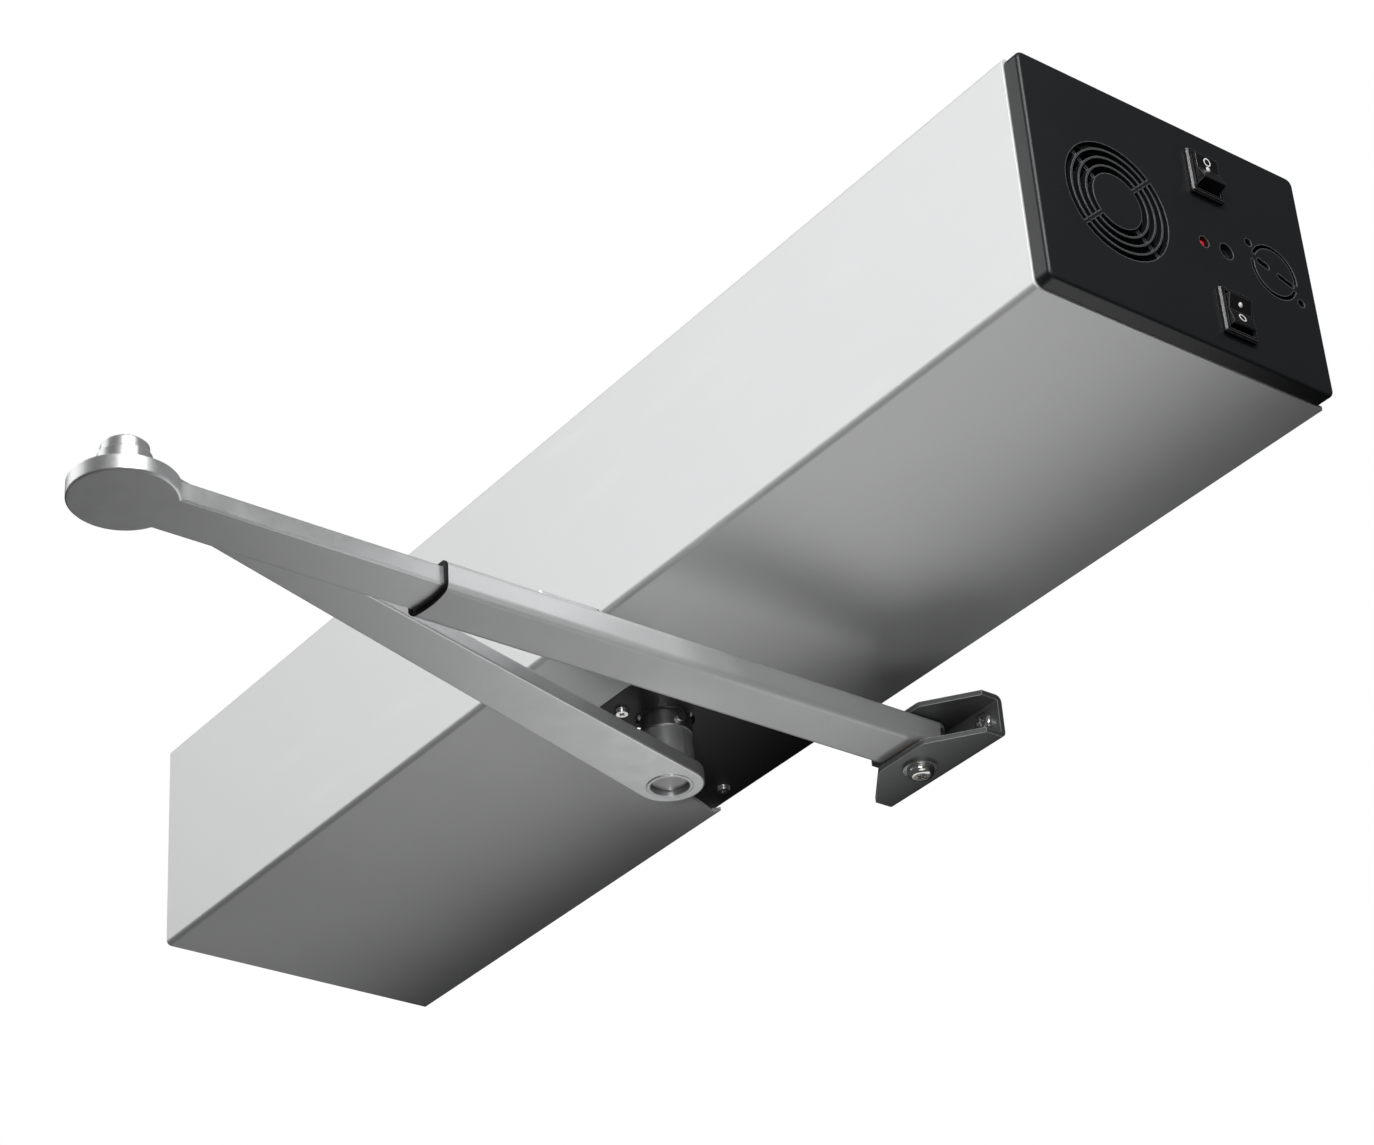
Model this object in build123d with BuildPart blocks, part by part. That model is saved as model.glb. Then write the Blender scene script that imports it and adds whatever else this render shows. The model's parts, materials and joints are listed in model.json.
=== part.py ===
from build123d import *
import math
import os

os.makedirs("parts", exist_ok=True)

# Surface-mounted automatic swing-door operator with a folding push arm.
# Millimetres. The origin is the centre of the wall-mounting face: +X runs along the body towards
# the switch cap, -Y points away from the wall, +Z is up. The arm hangs below the body.

# ---------------------------------------------------------------- driving dimensions
body_length = 530.0
body_depth = 126.0
body_height = 90.4
cover_sheet = 1.5
cover_radius = 2.2
chassis_sheet = 2.0
slide_gap = 0.2                       # flat faces that slide past each other

cap_thickness = 6.3
cap_wall = 2.5
cap_inset = 0.6                       # how far the cap's outline lies inside the cover's
cap_corner = 3.0
cap_skirt = 10.0

spindle_x = -12.0
spindle_y = -59.5
spindle_radius = 7.97
bearing_bore = 8.0
bearing_outer = 14.0

elbow_x = 66.1
elbow_y = -326.8
arm_bottom = -70.7
arm_thickness = 6.0
arm_hub_radius = 12.8
arm_eye_radius = 8.7
arm_end_radius = 7.0
arm_end_shift = (-2.5, 3.0)          # the blade meets the eye off centre, clear of the forearm
arm_relief = 3.4                      # how much thinner the blade is at the eye
arm_relief_length = 110.0

forearm_bottom = -80.0
forearm_height = 7.1
forearm_width = 18.8
forearm_inner_end = -150.0
elbow_disc_radius = 17.7
elbow_disc_thickness = 5.5

channel_width = 22.6
channel_height = 11.0
channel_sheet = 1.6
channel_mouth = -216.0
channel_bottom = -82.0

shoe_pivot_y = -7.5
shoe_face_y = 5.0
shoe_length = 61.0
shoe_depth = 23.0
shoe_height = 17.0
shoe_sheet = 2.0
shoe_bottom = -85.4
shoe_offset = 1.5                     # shoe centre relative to its pivot, along X

gear_module = 2.0
gear_teeth = 36
pinion_teeth = 12
pressure_angle = math.radians(25)
gear_backlash = 0.25
gear_bottom = -28.0
gear_width = 12.0

fan_y = -89.5
fan_z = -1.5
fan_size = 45.0
fan_thickness = 10.0
grille_radius = 22.0
grille_pitch = 3.1
grille_ring = 0.7
grille_hub = 10.5

wall_hole_radius = 3.25
wall_hole_spacing_x = 470.0
wall_hole_spacing_z = 56.0
cable_hole_radius = 10.0

# ---------------------------------------------------------------- derived positions
half_length = body_length / 2
half_height = body_height / 2
cover_inside = half_height - cover_sheet
shelf_bottom = -cover_inside + slide_gap
shelf_top = shelf_bottom + chassis_sheet
plate_half_height = cover_inside - slide_gap
plate_left = -half_length + 3.0
plate_right = half_length - cap_skirt - 1.0
cap_back = half_length + slide_gap
cap_face = cap_back + cap_thickness
cap_inner_face = cap_face - cap_wall
skirt_back = cap_back - cap_skirt
pinion_x = spindle_x - gear_module * (gear_teeth + pinion_teeth) / 2
arm_top = arm_bottom + arm_thickness
arm_reach_x = elbow_x - spindle_x
arm_reach_y = elbow_y - spindle_y
forearm_top = forearm_bottom + forearm_height
channel_top = channel_bottom + channel_height
shoe_top = shoe_bottom + shoe_height
shoe_x = elbow_x + shoe_offset
shelf_left = -110.0
shelf_right = 175.0
shelf_front = -112.0
shelf_screw_spots = ((spindle_x - 31, -8.5), (spindle_x + 31, -8.5), (spindle_x - 2, -78.0))


def level(z):
    """Horizontal sketch plane at height z."""
    return Plane.XY.offset(z)


def across(x):
    """Sketch plane across the body at x; its two axes are Y and Z."""
    return Plane.YZ.offset(x)


# ---------------------------------------------------------------- casing
cutout_half_width = 36.0
cutout_front = -88.5
cutout_flare_start = -30.0
cutout_flare = 10.8
cutout_corner = 22.0

with BuildPart() as cover:
    with BuildSketch(across(-half_length)):
        with Locations((-body_depth / 2, 0)):
            outer = Rectangle(body_depth, body_height)
        fillet(outer.vertices().group_by(Axis.X)[0], cover_radius)
    extrude(amount=body_length)
    with BuildSketch(across(-half_length)):
        with Locations(((cover_sheet - body_depth) / 2 + 0.5, 0)):
            inner = Rectangle(body_depth - cover_sheet + 1.0, 2 * cover_inside)
        fillet(inner.vertices().group_by(Axis.X)[0], cover_radius - cover_sheet)
    extrude(amount=body_length, mode=Mode.SUBTRACT)
    with BuildSketch(level(-half_height - 1)):
        with BuildLine():
            cutout = Polyline(
                (spindle_x - cutout_half_width, cutout_front),
                (spindle_x + cutout_half_width, cutout_front),
                (spindle_x + cutout_half_width, cutout_flare_start),
                (spindle_x + cutout_half_width + cutout_flare, -2.2),
                (spindle_x + cutout_half_width + cutout_flare - 4.0, 1.0),
                (spindle_x - cutout_half_width - cutout_flare + 4.0, 1.0),
                (spindle_x - cutout_half_width - cutout_flare, -2.2),
                (spindle_x - cutout_half_width, cutout_flare_start),
                close=True,
            )
        window = make_face()
        fillet(window.vertices().group_by(Axis.Y)[0], cutout_corner)
        fillet(window.vertices().filter_by_position(Axis.Y, -31, -29), 8.0)
        fillet(window.vertices().filter_by_position(Axis.Y, -3, -2), 1.5)
    extrude(amount=cover_sheet + 1.5, mode=Mode.SUBTRACT)

with BuildPart() as chassis:
    with BuildSketch(Plane.XZ):
        with Locations(((plate_left + plate_right) / 2, 0)):
            Rectangle(plate_right - plate_left, 2 * plate_half_height)
        with GridLocations(wall_hole_spacing_x, wall_hole_spacing_z, 2, 2):
            Circle(wall_hole_radius, mode=Mode.SUBTRACT)
        with Locations((222, 0)):
            Circle(cable_hole_radius, mode=Mode.SUBTRACT)
    extrude(amount=chassis_sheet)
    with BuildSketch(level(shelf_bottom)):
        with Locations(((shelf_left + shelf_right) / 2, shelf_front / 2)):
            Rectangle(shelf_right - shelf_left, -shelf_front)
        with Locations((spindle_x, spindle_y)):
            Circle(11.0, mode=Mode.SUBTRACT)
        with Locations(*shelf_screw_spots):
            Circle(1.7, mode=Mode.SUBTRACT)
    extrude(amount=chassis_sheet)
    for tab_x in (plate_left + chassis_sheet / 2, plate_right - chassis_sheet / 2):
        for tab_z in (33, -33):
            with Locations((tab_x, -13, tab_z)):
                Box(chassis_sheet, 26, 20)
            with Locations(Plane.YZ.offset(tab_x) * Pos(-14, tab_z, 0)):
                Cylinder(1.6, 3 * chassis_sheet, mode=Mode.SUBTRACT)
    bend = chassis.edges().filter_by(Axis.X).filter_by(
        lambda e: abs(e.center().Y) < 0.01 and abs(e.center().Z - shelf_bottom) < 0.01)
    fillet(bend, 1.5)

with BuildPart() as left_end_plate:
    with BuildSketch(across(plate_left - chassis_sheet)):
        with Locations((-62.3, 0)):
            RectangleRounded(123.4, 2 * cover_inside - 0.8, 3.0)
        with Locations((-14, 33), (-14, -33)):
            Circle(1.6, mode=Mode.SUBTRACT)
    extrude(amount=chassis_sheet)

led_y, led_z = -51.3, -1.9
learn_y, learn_z = -41.1, -1.7
knockout_y, knockout_z = -19.2, -1.4
knockout_turn = -18.0
power_y, power_z = -46.8, 26.0
mode_y, mode_z = -43.0, -28.4
post_spots = ((-58.0, 9.0), (-33.0, -13.0))

with BuildPart() as end_cap:
    with BuildSketch(across(cap_back)):
        with Locations((-body_depth / 2, 0)):
            RectangleRounded(body_depth - 2 * cap_inset, body_height - 2 * cap_inset, cap_corner)
    extrude(amount=cap_thickness)
    fillet(end_cap.faces().sort_by(Axis.X)[-1].edges(), 1.2)
    with BuildSketch(across(cap_back)):
        with Locations((-body_depth / 2, 0)):
            RectangleRounded(body_depth - 2 * cap_wall, body_height - 2 * cap_wall, 1.0)
    extrude(amount=cap_thickness - cap_wall, mode=Mode.SUBTRACT)
    with BuildSketch(across(skirt_back)):
        with Locations((-62.25, 0)):
            RectangleRounded(123.9, 86.8, 3.0)
            RectangleRounded(119.9, 82.8, 2.0, mode=Mode.SUBTRACT)
    extrude(amount=cap_skirt + 1.0)
    with BuildSketch(across(cap_inner_face)):
        with Locations((fan_y, fan_z)):
            with GridLocations(37, 37, 2, 2):
                Circle(3.0)
    extrude(amount=-(cap_inner_face - cap_back))
    with BuildSketch(across(cap_inner_face)):
        with Locations((-14, 33), (-14, -33)):
            Circle(4.0)
    extrude(amount=-(cap_inner_face - skirt_back))
    with BuildSketch(across(skirt_back)):
        with Locations((-14, 33), (-14, -33)):
            Circle(1.5, mode=Mode.ADD)
        with Locations((fan_y, fan_z)):
            with GridLocations(37, 37, 2, 2):
                Circle(1.5, mode=Mode.ADD)
    extrude(amount=9.0, mode=Mode.SUBTRACT)
    with BuildSketch(across(cap_inner_face)):
        with Locations(*post_spots):
            Circle(2.5)
    extrude(amount=-5.4)
    # grille: four ring slots; the second pair of spokes lies deeper than the first
    for depth, spoke_turns in ((cap_wall, (42, -42)), (1.2, (42,))):
        with BuildSketch(across(cap_face)):
            with Locations((fan_y, fan_z)):
                Circle(grille_radius)
                for ring in (3, 2, 1):
                    middle = grille_hub + ring * grille_pitch - grille_ring / 2
                    Circle(middle + grille_ring / 2, mode=Mode.SUBTRACT)
                    Circle(middle - grille_ring / 2)
                Circle(grille_hub, mode=Mode.SUBTRACT)
                for turn in spoke_turns:
                    Rectangle(2 * grille_radius + 2, 1.5, rotation=turn, mode=Mode.SUBTRACT)
        extrude(amount=-depth - 0.01, mode=Mode.SUBTRACT)
    # holes for the lamp and the button, the two switches and the knock-out's screw holes
    with BuildSketch(across(cap_face)):
        with Locations((led_y, led_z)):
            Circle(2.1)
        with Locations((learn_y, learn_z)):
            Circle(3.0)
        with Locations((-29.5, 6.7), (-8.4, -9.8)):
            Circle(1.5)
        with Locations((power_y, power_z), (mode_y, mode_z)):
            Rectangle(12.2, 16.0)
    extrude(amount=-cap_wall - 0.01, mode=Mode.SUBTRACT)
    # cable knock-out: a ring slot held by two webs, with two pry slots in its disc
    with BuildSketch(across(cap_face)):
        with Locations((knockout_y, knockout_z)):
            Circle(10.4)
            Circle(9.1, mode=Mode.SUBTRACT)
            Rectangle(24, 3.0, rotation=knockout_turn, mode=Mode.SUBTRACT)
        with Locations(Pos(knockout_y, knockout_z) * Rot(0, 0, knockout_turn)):
            with Locations((-5.0, 0)):
                SlotOverall(5.6, 2.2)
            with Locations((5.2, 0)):
                SlotOverall(7.6, 1.8)
    extrude(amount=-cap_wall - 0.01, mode=Mode.SUBTRACT)

end_screw_length = 7.0
with BuildPart() as end_screws:
    for screw_z in (33, -33):
        for head_x, side in ((plate_left - chassis_sheet, -1), (plate_right - chassis_sheet, -1)):
            with BuildSketch(across(head_x)):
                with Locations((-14, screw_z)):
                    Circle(2.9)
            extrude(amount=1.8 * side)
            with BuildSketch(across(head_x)):
                with Locations((-14, screw_z)):
                    Circle(1.5)
            extrude(amount=end_screw_length - 2.0)

# ---------------------------------------------------------------- rocker switches
bezel_width = 14.5
bezel_height = 18.0
bezel_thickness = 2.0
bezel_face = cap_face + bezel_thickness
rocker_pivot_x = cap_face + 0.5
rocker_width = 10.0
rocker_half = 5.9
trunnion_radius = 1.0
pocket_half = 7.4


def build_switch_body(centre_y, centre_z):
    """Snap-in body of a rocker switch, with its bezel and three tab terminals behind."""
    with BuildPart() as body:
        with BuildSketch(across(cap_face)):
            with Locations((centre_y, centre_z)):
                RectangleRounded(bezel_width, bezel_height, 0.8)
        extrude(amount=bezel_thickness)
        chamfer(body.faces().sort_by(Axis.X)[-1].edges(), 0.6)
        with BuildSketch(across(cap_face)):
            with Locations((centre_y, centre_z)):
                Rectangle(12.0, 15.8)
        extrude(amount=-18.0)
        with BuildSketch(across(bezel_face)):
            with Locations((centre_y, centre_z)):
                Rectangle(rocker_width + 0.6, 2 * pocket_half)
        extrude(amount=-10.5, mode=Mode.SUBTRACT)
        with BuildSketch(Plane(origin=(rocker_pivot_x, centre_y, centre_z), z_dir=(0, 1, 0))):
            Circle(trunnion_radius + 0.05)
        extrude(amount=6.2, both=True, mode=Mode.SUBTRACT)
        with BuildSketch(across(cap_face - 18.0)):
            with Locations((centre_y, centre_z)):
                with GridLocations(1, 5.0, 1, 3):
                    Rectangle(4.8, 0.8)
        extrude(amount=-7.0)
    return body


def build_rocker(centre_y, centre_z, ridge, tilt):
    """Rocker whose two facets meet in a valley; a positive tilt in degrees presses its top."""
    turn = math.radians(tilt)
    pivot = Plane(origin=(rocker_pivot_x, centre_y + rocker_width / 2, centre_z),
                  x_dir=(math.cos(turn), 0, math.sin(turn)), z_dir=(0, -1, 0))
    with BuildPart() as rocker:
        with BuildSketch(pivot):
            with BuildLine():
                Polyline(
                    (0, -rocker_half),
                    (ridge, -rocker_half),
                    (ridge - 1.4, 0),
                    (ridge, rocker_half),
                    (0, rocker_half),
                    (-3.4, 3.0),
                    (-3.4, -3.0),
                    close=True,
                )
            profile = make_face()
            fillet(profile.vertices().sort_by(Axis.X)[-2:], 0.5)
        extrude(amount=rocker_width)
        with BuildSketch(Plane(origin=(rocker_pivot_x, centre_y, centre_z), z_dir=(0, 1, 0))):
            Circle(trunnion_radius)
        extrude(amount=5.9, both=True)
    return rocker


power_switch_body = build_switch_body(power_y, power_z)
mode_switch_body = build_switch_body(mode_y, mode_z)
power_rocker = build_rocker(power_y, power_z, 4.2, 12)
mode_rocker = build_rocker(mode_y, mode_z, 3.4, 0)

# ---------------------------------------------------------------- lamp and learn button
switch_board_x = cap_inner_face - 5.4 - 1.6
led_spacer = 3.0
with BuildPart() as switch_board:
    with BuildSketch(across(switch_board_x)):
        with Locations((-45.5, -2.0)):
            RectangleRounded(31.0, 28.0, 1.0)
    extrude(amount=1.6)

with BuildPart() as status_led:
    with BuildSketch(across(switch_board_x + 1.6)):
        with Locations((led_y, led_z)):
            Circle(1.8)
    extrude(amount=led_spacer)
    with BuildSketch(across(switch_board_x + 1.6 + led_spacer)):
        with Locations((led_y, led_z)):
            Circle(1.5)
    extrude(amount=4.2)
    fillet(status_led.faces().sort_by(Axis.X)[-1].edges(), 1.4)

with BuildPart() as learn_switch:
    with BuildSketch(across(switch_board_x + 1.6)):
        with Locations((learn_y, learn_z)):
            Rectangle(6.2, 6.2)
    extrude(amount=3.5)
    with BuildSketch(across(switch_board_x + 5.1)):
        with Locations((learn_y, learn_z)):
            Circle(1.85)
    extrude(amount=-2.6, mode=Mode.SUBTRACT)

with BuildPart() as learn_button:
    with BuildSketch(across(switch_board_x + 3.3)):
        with Locations((learn_y, learn_z)):
            Circle(1.78)
    extrude(amount=4.6)
    fillet(learn_button.faces().sort_by(Axis.X)[-1].edges(), 0.3)

# ---------------------------------------------------------------- cooling fan
fan_front = cap_back
fan_back = fan_front - fan_thickness
fan_bore = 21.4
impeller_radius = 20.6
impeller_hub = 9.5

with BuildPart() as fan_frame:
    with BuildSketch(across(fan_back)):
        with Locations((fan_y, fan_z)):
            RectangleRounded(fan_size, fan_size, 3.0)
            Circle(fan_bore, mode=Mode.SUBTRACT)
            with GridLocations(37, 37, 2, 2):
                Circle(1.7, mode=Mode.SUBTRACT)
    extrude(amount=fan_thickness)
    with BuildSketch(across(fan_back)):
        with Locations((fan_y, fan_z)):
            Circle(9.5)
            with PolarLocations(15.0, 3):
                Rectangle(14.0, 2.4)
    extrude(amount=1.6)
    with BuildSketch(across(fan_back + 1.6)):
        with Locations((fan_y, fan_z)):
            Circle(2.6)
            Circle(1.55, mode=Mode.SUBTRACT)
    extrude(amount=5.0)

with BuildPart() as fan_impeller:
    with BuildSketch(across(fan_back + 2.2)):
        with Locations((fan_y, fan_z)):
            Circle(impeller_hub)
    extrude(amount=7.4)
    fillet(fan_impeller.faces().sort_by(Axis.X)[-1].edges(), 0.8)
    with BuildSketch(across(fan_back + 2.2)):
        with Locations((fan_y, fan_z)):
            Circle(impeller_hub - 1.2)
            Circle(1.5, mode=Mode.SUBTRACT)
    extrude(amount=6.0, mode=Mode.SUBTRACT)
    with Locations(Plane.YZ.offset(fan_back + 5.6) * Pos(fan_y, fan_z, 0)):
        with PolarLocations((impeller_hub + impeller_radius) / 2 - 0.4, 7):
            Box(impeller_radius - impeller_hub + 0.8, 7.2, 1.2, rotation=(38, 0, 0))
    with BuildSketch(across(fan_back + 1.8)):
        with Locations((fan_y, fan_z)):
            Circle(impeller_radius)
    extrude(amount=8.0, mode=Mode.INTERSECT)

with BuildPart() as fan_screws:
    for dy in (-18.5, 18.5):
        for dz in (-18.5, 18.5):
            with BuildSketch(across(fan_back)):
                with Locations((fan_y + dy, fan_z + dz)):
                    Circle(2.7)
            extrude(amount=-1.7)
            with BuildSketch(across(fan_back)):
                with Locations((fan_y + dy, fan_z + dz)):
                    Circle(1.5)
            extrude(amount=fan_thickness)

# ---------------------------------------------------------------- gearbox
housing_radius = 43.0
pinion_housing_radius = 18.0
housing_floor = 8.0
housing_top = -6.0
lid_thickness = 6.0
lug_spots = (
    (spindle_x + 33, spindle_y + 33),
    (spindle_x + 33, spindle_y - 33),
    (spindle_x - 24, spindle_y + 38),
    (spindle_x - 24, spindle_y - 38),
    (pinion_x - 22, spindle_y),
)


def housing_outline(shrink):
    """Pear-shaped outline round the gear and its pinion, smaller by shrink."""
    with BuildSketch(Plane.XY) as outline:
        with Locations((spindle_x, spindle_y)):
            Circle(housing_radius - shrink)
        with Locations((pinion_x, spindle_y)):
            Circle(pinion_housing_radius - shrink)
        make_hull()
    return outline.sketch


with BuildPart() as gearbox_base:
    with BuildSketch(level(shelf_top)):
        add(housing_outline(0))
        with Locations(*lug_spots):
            Circle(5.5)
    extrude(amount=housing_top - shelf_top)
    with BuildSketch(level(shelf_top)):
        with Locations((spindle_x - 31, -17.5), (spindle_x + 31, -17.5)):
            Rectangle(14, 29)
    extrude(amount=6.0)
    with BuildSketch(level(shelf_top + housing_floor)):
        add(housing_outline(3.5))
    extrude(amount=housing_top - shelf_top, mode=Mode.SUBTRACT)
    with BuildSketch(level(shelf_top)):
        with Locations((spindle_x, spindle_y)):
            Circle(bearing_outer)
    extrude(amount=housing_floor, mode=Mode.SUBTRACT)
    with BuildSketch(level(shelf_top + 4.0)):
        with Locations((pinion_x, spindle_y)):
            Circle(4.04)
    extrude(amount=housing_floor, mode=Mode.SUBTRACT)
    with BuildSketch(level(shelf_top)):
        with Locations(*shelf_screw_spots):
            Circle(1.6)
    extrude(amount=5.0, mode=Mode.SUBTRACT)
    with BuildSketch(level(housing_top)):
        with Locations(*lug_spots):
            Circle(1.6)
    extrude(amount=-12.0, mode=Mode.SUBTRACT)

with BuildPart() as gearbox_lid:
    with BuildSketch(level(housing_top)):
        add(housing_outline(0))
        with Locations(*lug_spots):
            Circle(5.5)
        with Locations((spindle_x, spindle_y)):
            Circle(bearing_outer, mode=Mode.SUBTRACT)
        with Locations((pinion_x, spindle_y)):
            Circle(7.0, mode=Mode.SUBTRACT)
        with Locations(*lug_spots):
            Circle(1.7, mode=Mode.SUBTRACT)
    extrude(amount=lid_thickness)

with BuildPart() as lid_screws:
    for spot in lug_spots:
        with BuildSketch(level(housing_top + lid_thickness)):
            with Locations(spot):
                Circle(3.0)
                RegularPolygon(1.3, 6, mode=Mode.SUBTRACT)
        extrude(amount=2.6)
        with BuildSketch(level(housing_top + lid_thickness)):
            with Locations(spot):
                Circle(1.6)
        extrude(amount=-14.0)


def build_bearing(bottom, height):
    """Deep-groove bearing as a plain race ring with a groove between its races on both faces."""
    with BuildPart() as bearing:
        for side_level, direction in ((bottom, 1), (bottom + height, -1)):
            with BuildSketch(level(side_level)):
                with Locations((spindle_x, spindle_y)):
                    Circle(bearing_outer)
                    Circle(bearing_bore, mode=Mode.SUBTRACT)
            extrude(amount=direction * height / 2)
            with BuildSketch(level(side_level)):
                with Locations((spindle_x, spindle_y)):
                    Circle(12.2)
                    Circle(9.9, mode=Mode.SUBTRACT)
            extrude(amount=direction * 0.8, mode=Mode.SUBTRACT)
    return bearing


lower_bearing = build_bearing(shelf_top, housing_floor)
upper_bearing = build_bearing(housing_top, lid_thickness)


def gear_outline(teeth, turn):
    """Points of an involute gear; the first tooth is centred on the angle turn, in radians."""
    pitch_radius = gear_module * teeth / 2
    base_radius = pitch_radius * math.cos(pressure_angle)
    tip_radius = pitch_radius + 0.95 * gear_module
    root_radius = pitch_radius - 1.25 * gear_module
    half_tooth = math.pi / (2 * teeth) - gear_backlash / (2 * pitch_radius)
    half_at_base = half_tooth + math.tan(pressure_angle) - pressure_angle
    start = max(base_radius, root_radius)
    flank = []
    for step in range(7):
        radius = start + (tip_radius - start) * step / 6
        roll = math.acos(min(1.0, base_radius / radius))
        flank.append((radius, half_at_base - (math.tan(roll) - roll)))
    if root_radius < base_radius:
        flank.insert(0, (root_radius, half_at_base))
    points = []
    for tooth in range(teeth):
        middle = turn + 2 * math.pi * tooth / teeth
        for radius, half in flank:
            points.append((radius * math.cos(middle - half), radius * math.sin(middle - half)))
        for radius, half in reversed(flank):
            points.append((radius * math.cos(middle + half), radius * math.sin(middle + half)))
    return points


with BuildPart() as output_gear:
    with BuildSketch(Plane((spindle_x, spindle_y, gear_bottom))):
        with BuildLine():
            Polyline(*gear_outline(gear_teeth, 0.0), close=True)
        make_face()
        Circle(spindle_radius, mode=Mode.SUBTRACT)
        with PolarLocations(21.0, 6):
            Circle(5.5, mode=Mode.SUBTRACT)
    extrude(amount=gear_width)

with BuildPart() as pinion:
    with BuildSketch(Plane((pinion_x, spindle_y, gear_bottom - 0.5))):
        with BuildLine():
            Polyline(*gear_outline(pinion_teeth, math.pi / pinion_teeth), close=True)
        make_face()
    extrude(amount=gear_width + 1.0)
    with BuildSketch(level(shelf_top + 4.5)):
        with Locations((pinion_x, spindle_y)):
            Circle(4.0)
    extrude(amount=18.5 - shelf_top - 4.5)

spindle_bottom = -66.2
with BuildPart() as output_spindle:
    with BuildSketch(level(spindle_bottom)):
        with Locations((spindle_x, spindle_y)):
            Circle(7.0)
            Rectangle(14.0, 2.0, mode=Mode.SUBTRACT)
    extrude(amount=1.0)
    with BuildSketch(level(spindle_bottom + 1.0)):
        with Locations((spindle_x, spindle_y)):
            Circle(7.0)
    extrude(amount=-50.4 - spindle_bottom - 1.0)
    with BuildSketch(level(-50.4)):
        with Locations((spindle_x, spindle_y)):
            Circle(spindle_radius)
    extrude(amount=50.4 + 3.0)
    chamfer(output_spindle.faces().sort_by(Axis.Z)[-1].edges(), 0.8)
    with BuildSketch(level(spindle_bottom)):
        with Locations((spindle_x, spindle_y)):
            Circle(3.0)
    extrude(amount=14.0, mode=Mode.SUBTRACT)

with BuildPart() as shelf_screws:
    for spot in shelf_screw_spots:
        with BuildSketch(level(shelf_bottom)):
            with Locations(spot):
                Circle(2.9)
        extrude(amount=-1.7, taper=20)
        with BuildSketch(level(shelf_bottom)):
            with Locations(spot):
                Circle(1.6)
        extrude(amount=7.0)
    with BuildSketch(level(shelf_bottom - 1.7)):
        with Locations(*shelf_screw_spots):
            Rectangle(2.6, 0.6)
            Rectangle(0.6, 2.6)
    extrude(amount=0.8, mode=Mode.SUBTRACT)

# ---------------------------------------------------------------- gearhead and motor
motor_z = 14.0
motor_radius = 27.0
gearhead_left = -92.0
gearhead_right = -39.0
gearhead_top = 41.0
motor_front = gearhead_left
motor_back = motor_front - 94.0

with BuildPart() as gearhead:
    with BuildSketch(across(gearhead_left)):
        with Locations((spindle_y, (gearhead_top + lid_thickness + housing_top) / 2)):
            RectangleRounded(52.0, gearhead_top - lid_thickness - housing_top, 6.0)
    extrude(amount=gearhead_right - gearhead_left)
    with BuildSketch(level(0)):
        with Locations((pinion_x - 22, spindle_y)):
            Circle(4.0)
    extrude(amount=4.0, mode=Mode.SUBTRACT)
    chamfer(gearhead.faces().sort_by(Axis.X)[-1].edges(), 1.5)
    with BuildSketch(level(0)):
        with Locations((pinion_x, spindle_y)):
            Circle(4.04)
    extrude(amount=20.0, mode=Mode.SUBTRACT)
    with BuildSketch(across(gearhead_left)):
        with Locations((spindle_y, motor_z)):
            Circle(3.04)
    extrude(amount=14.0, mode=Mode.SUBTRACT)

with BuildPart() as gearhead_screws:
    for dx in (8.0, 44.0):
        for dy in (-21.0, 21.0):
            with BuildSketch(level(gearhead_top)):
                with Locations((gearhead_left + dx, spindle_y + dy)):
                    Circle(2.6)
                    RegularPolygon(1.2, 6, mode=Mode.SUBTRACT)
            extrude(amount=1.8)

with BuildPart() as motor_can:
    with BuildSketch(across(motor_back + 6.0)):
        with Locations((spindle_y, motor_z)):
            Circle(motor_radius)
            Circle(motor_radius - 2.0, mode=Mode.SUBTRACT)
    extrude(amount=motor_front - motor_back - 6.0)
    with BuildSketch(across(motor_front)):
        with Locations((spindle_y, motor_z)):
            Circle(motor_radius - 1.0)
            Circle(3.04, mode=Mode.SUBTRACT)
    extrude(amount=-2.5)

with BuildPart() as motor_end_bell:
    with BuildSketch(across(motor_back)):
        with Locations((spindle_y, motor_z)):
            Circle(motor_radius)
            Circle(3.04, mode=Mode.SUBTRACT)
    extrude(amount=6.0)
    fillet(motor_end_bell.faces().sort_by(Axis.X)[0].outer_wire().edges(), 2.0)
    with BuildSketch(across(motor_back)):
        with Locations((spindle_y, motor_z)):
            Circle(8.0)
            Circle(3.04, mode=Mode.SUBTRACT)
    extrude(amount=-3.0)

with BuildPart() as motor_magnets:
    with BuildSketch(across(motor_back + 20.0)):
        with Locations((spindle_y, motor_z)):
            Circle(motor_radius - 2.0)
            Circle(motor_radius - 6.0, mode=Mode.SUBTRACT)
            Rectangle(60.0, 9.0, mode=Mode.SUBTRACT)
    extrude(amount=58.0)

with BuildPart() as motor_rotor:
    with BuildSketch(across(motor_back + 20.0)):
        with Locations((spindle_y, motor_z)):
            Circle(19.5)
            with PolarLocations(19.5, 12):
                Rectangle(5.0, 2.2, mode=Mode.SUBTRACT)
    extrude(amount=58.0)
    with BuildSketch(across(motor_back + 9.0)):
        with Locations((spindle_y, motor_z)):
            Circle(9.0)
    extrude(amount=11.0)
    with BuildSketch(across(motor_back - 16.0)):
        with Locations((spindle_y, motor_z)):
            Circle(3.0)
    extrude(amount=94.0 + 16.0 + 13.0)

encoder_x = motor_back - 8.0
with BuildPart() as encoder_disc:
    with BuildSketch(across(encoder_x - 1.0)):
        with Locations((spindle_y, motor_z)):
            Circle(13.0)
            with PolarLocations(10.8, 24):
                Rectangle(2.6, 1.1, mode=Mode.SUBTRACT)
            Circle(3.0, mode=Mode.SUBTRACT)
    extrude(amount=1.0)
    with BuildSketch(across(encoder_x)):
        with Locations((spindle_y, motor_z)):
            Circle(5.0)
            Circle(3.0, mode=Mode.SUBTRACT)
    extrude(amount=3.0)

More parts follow.
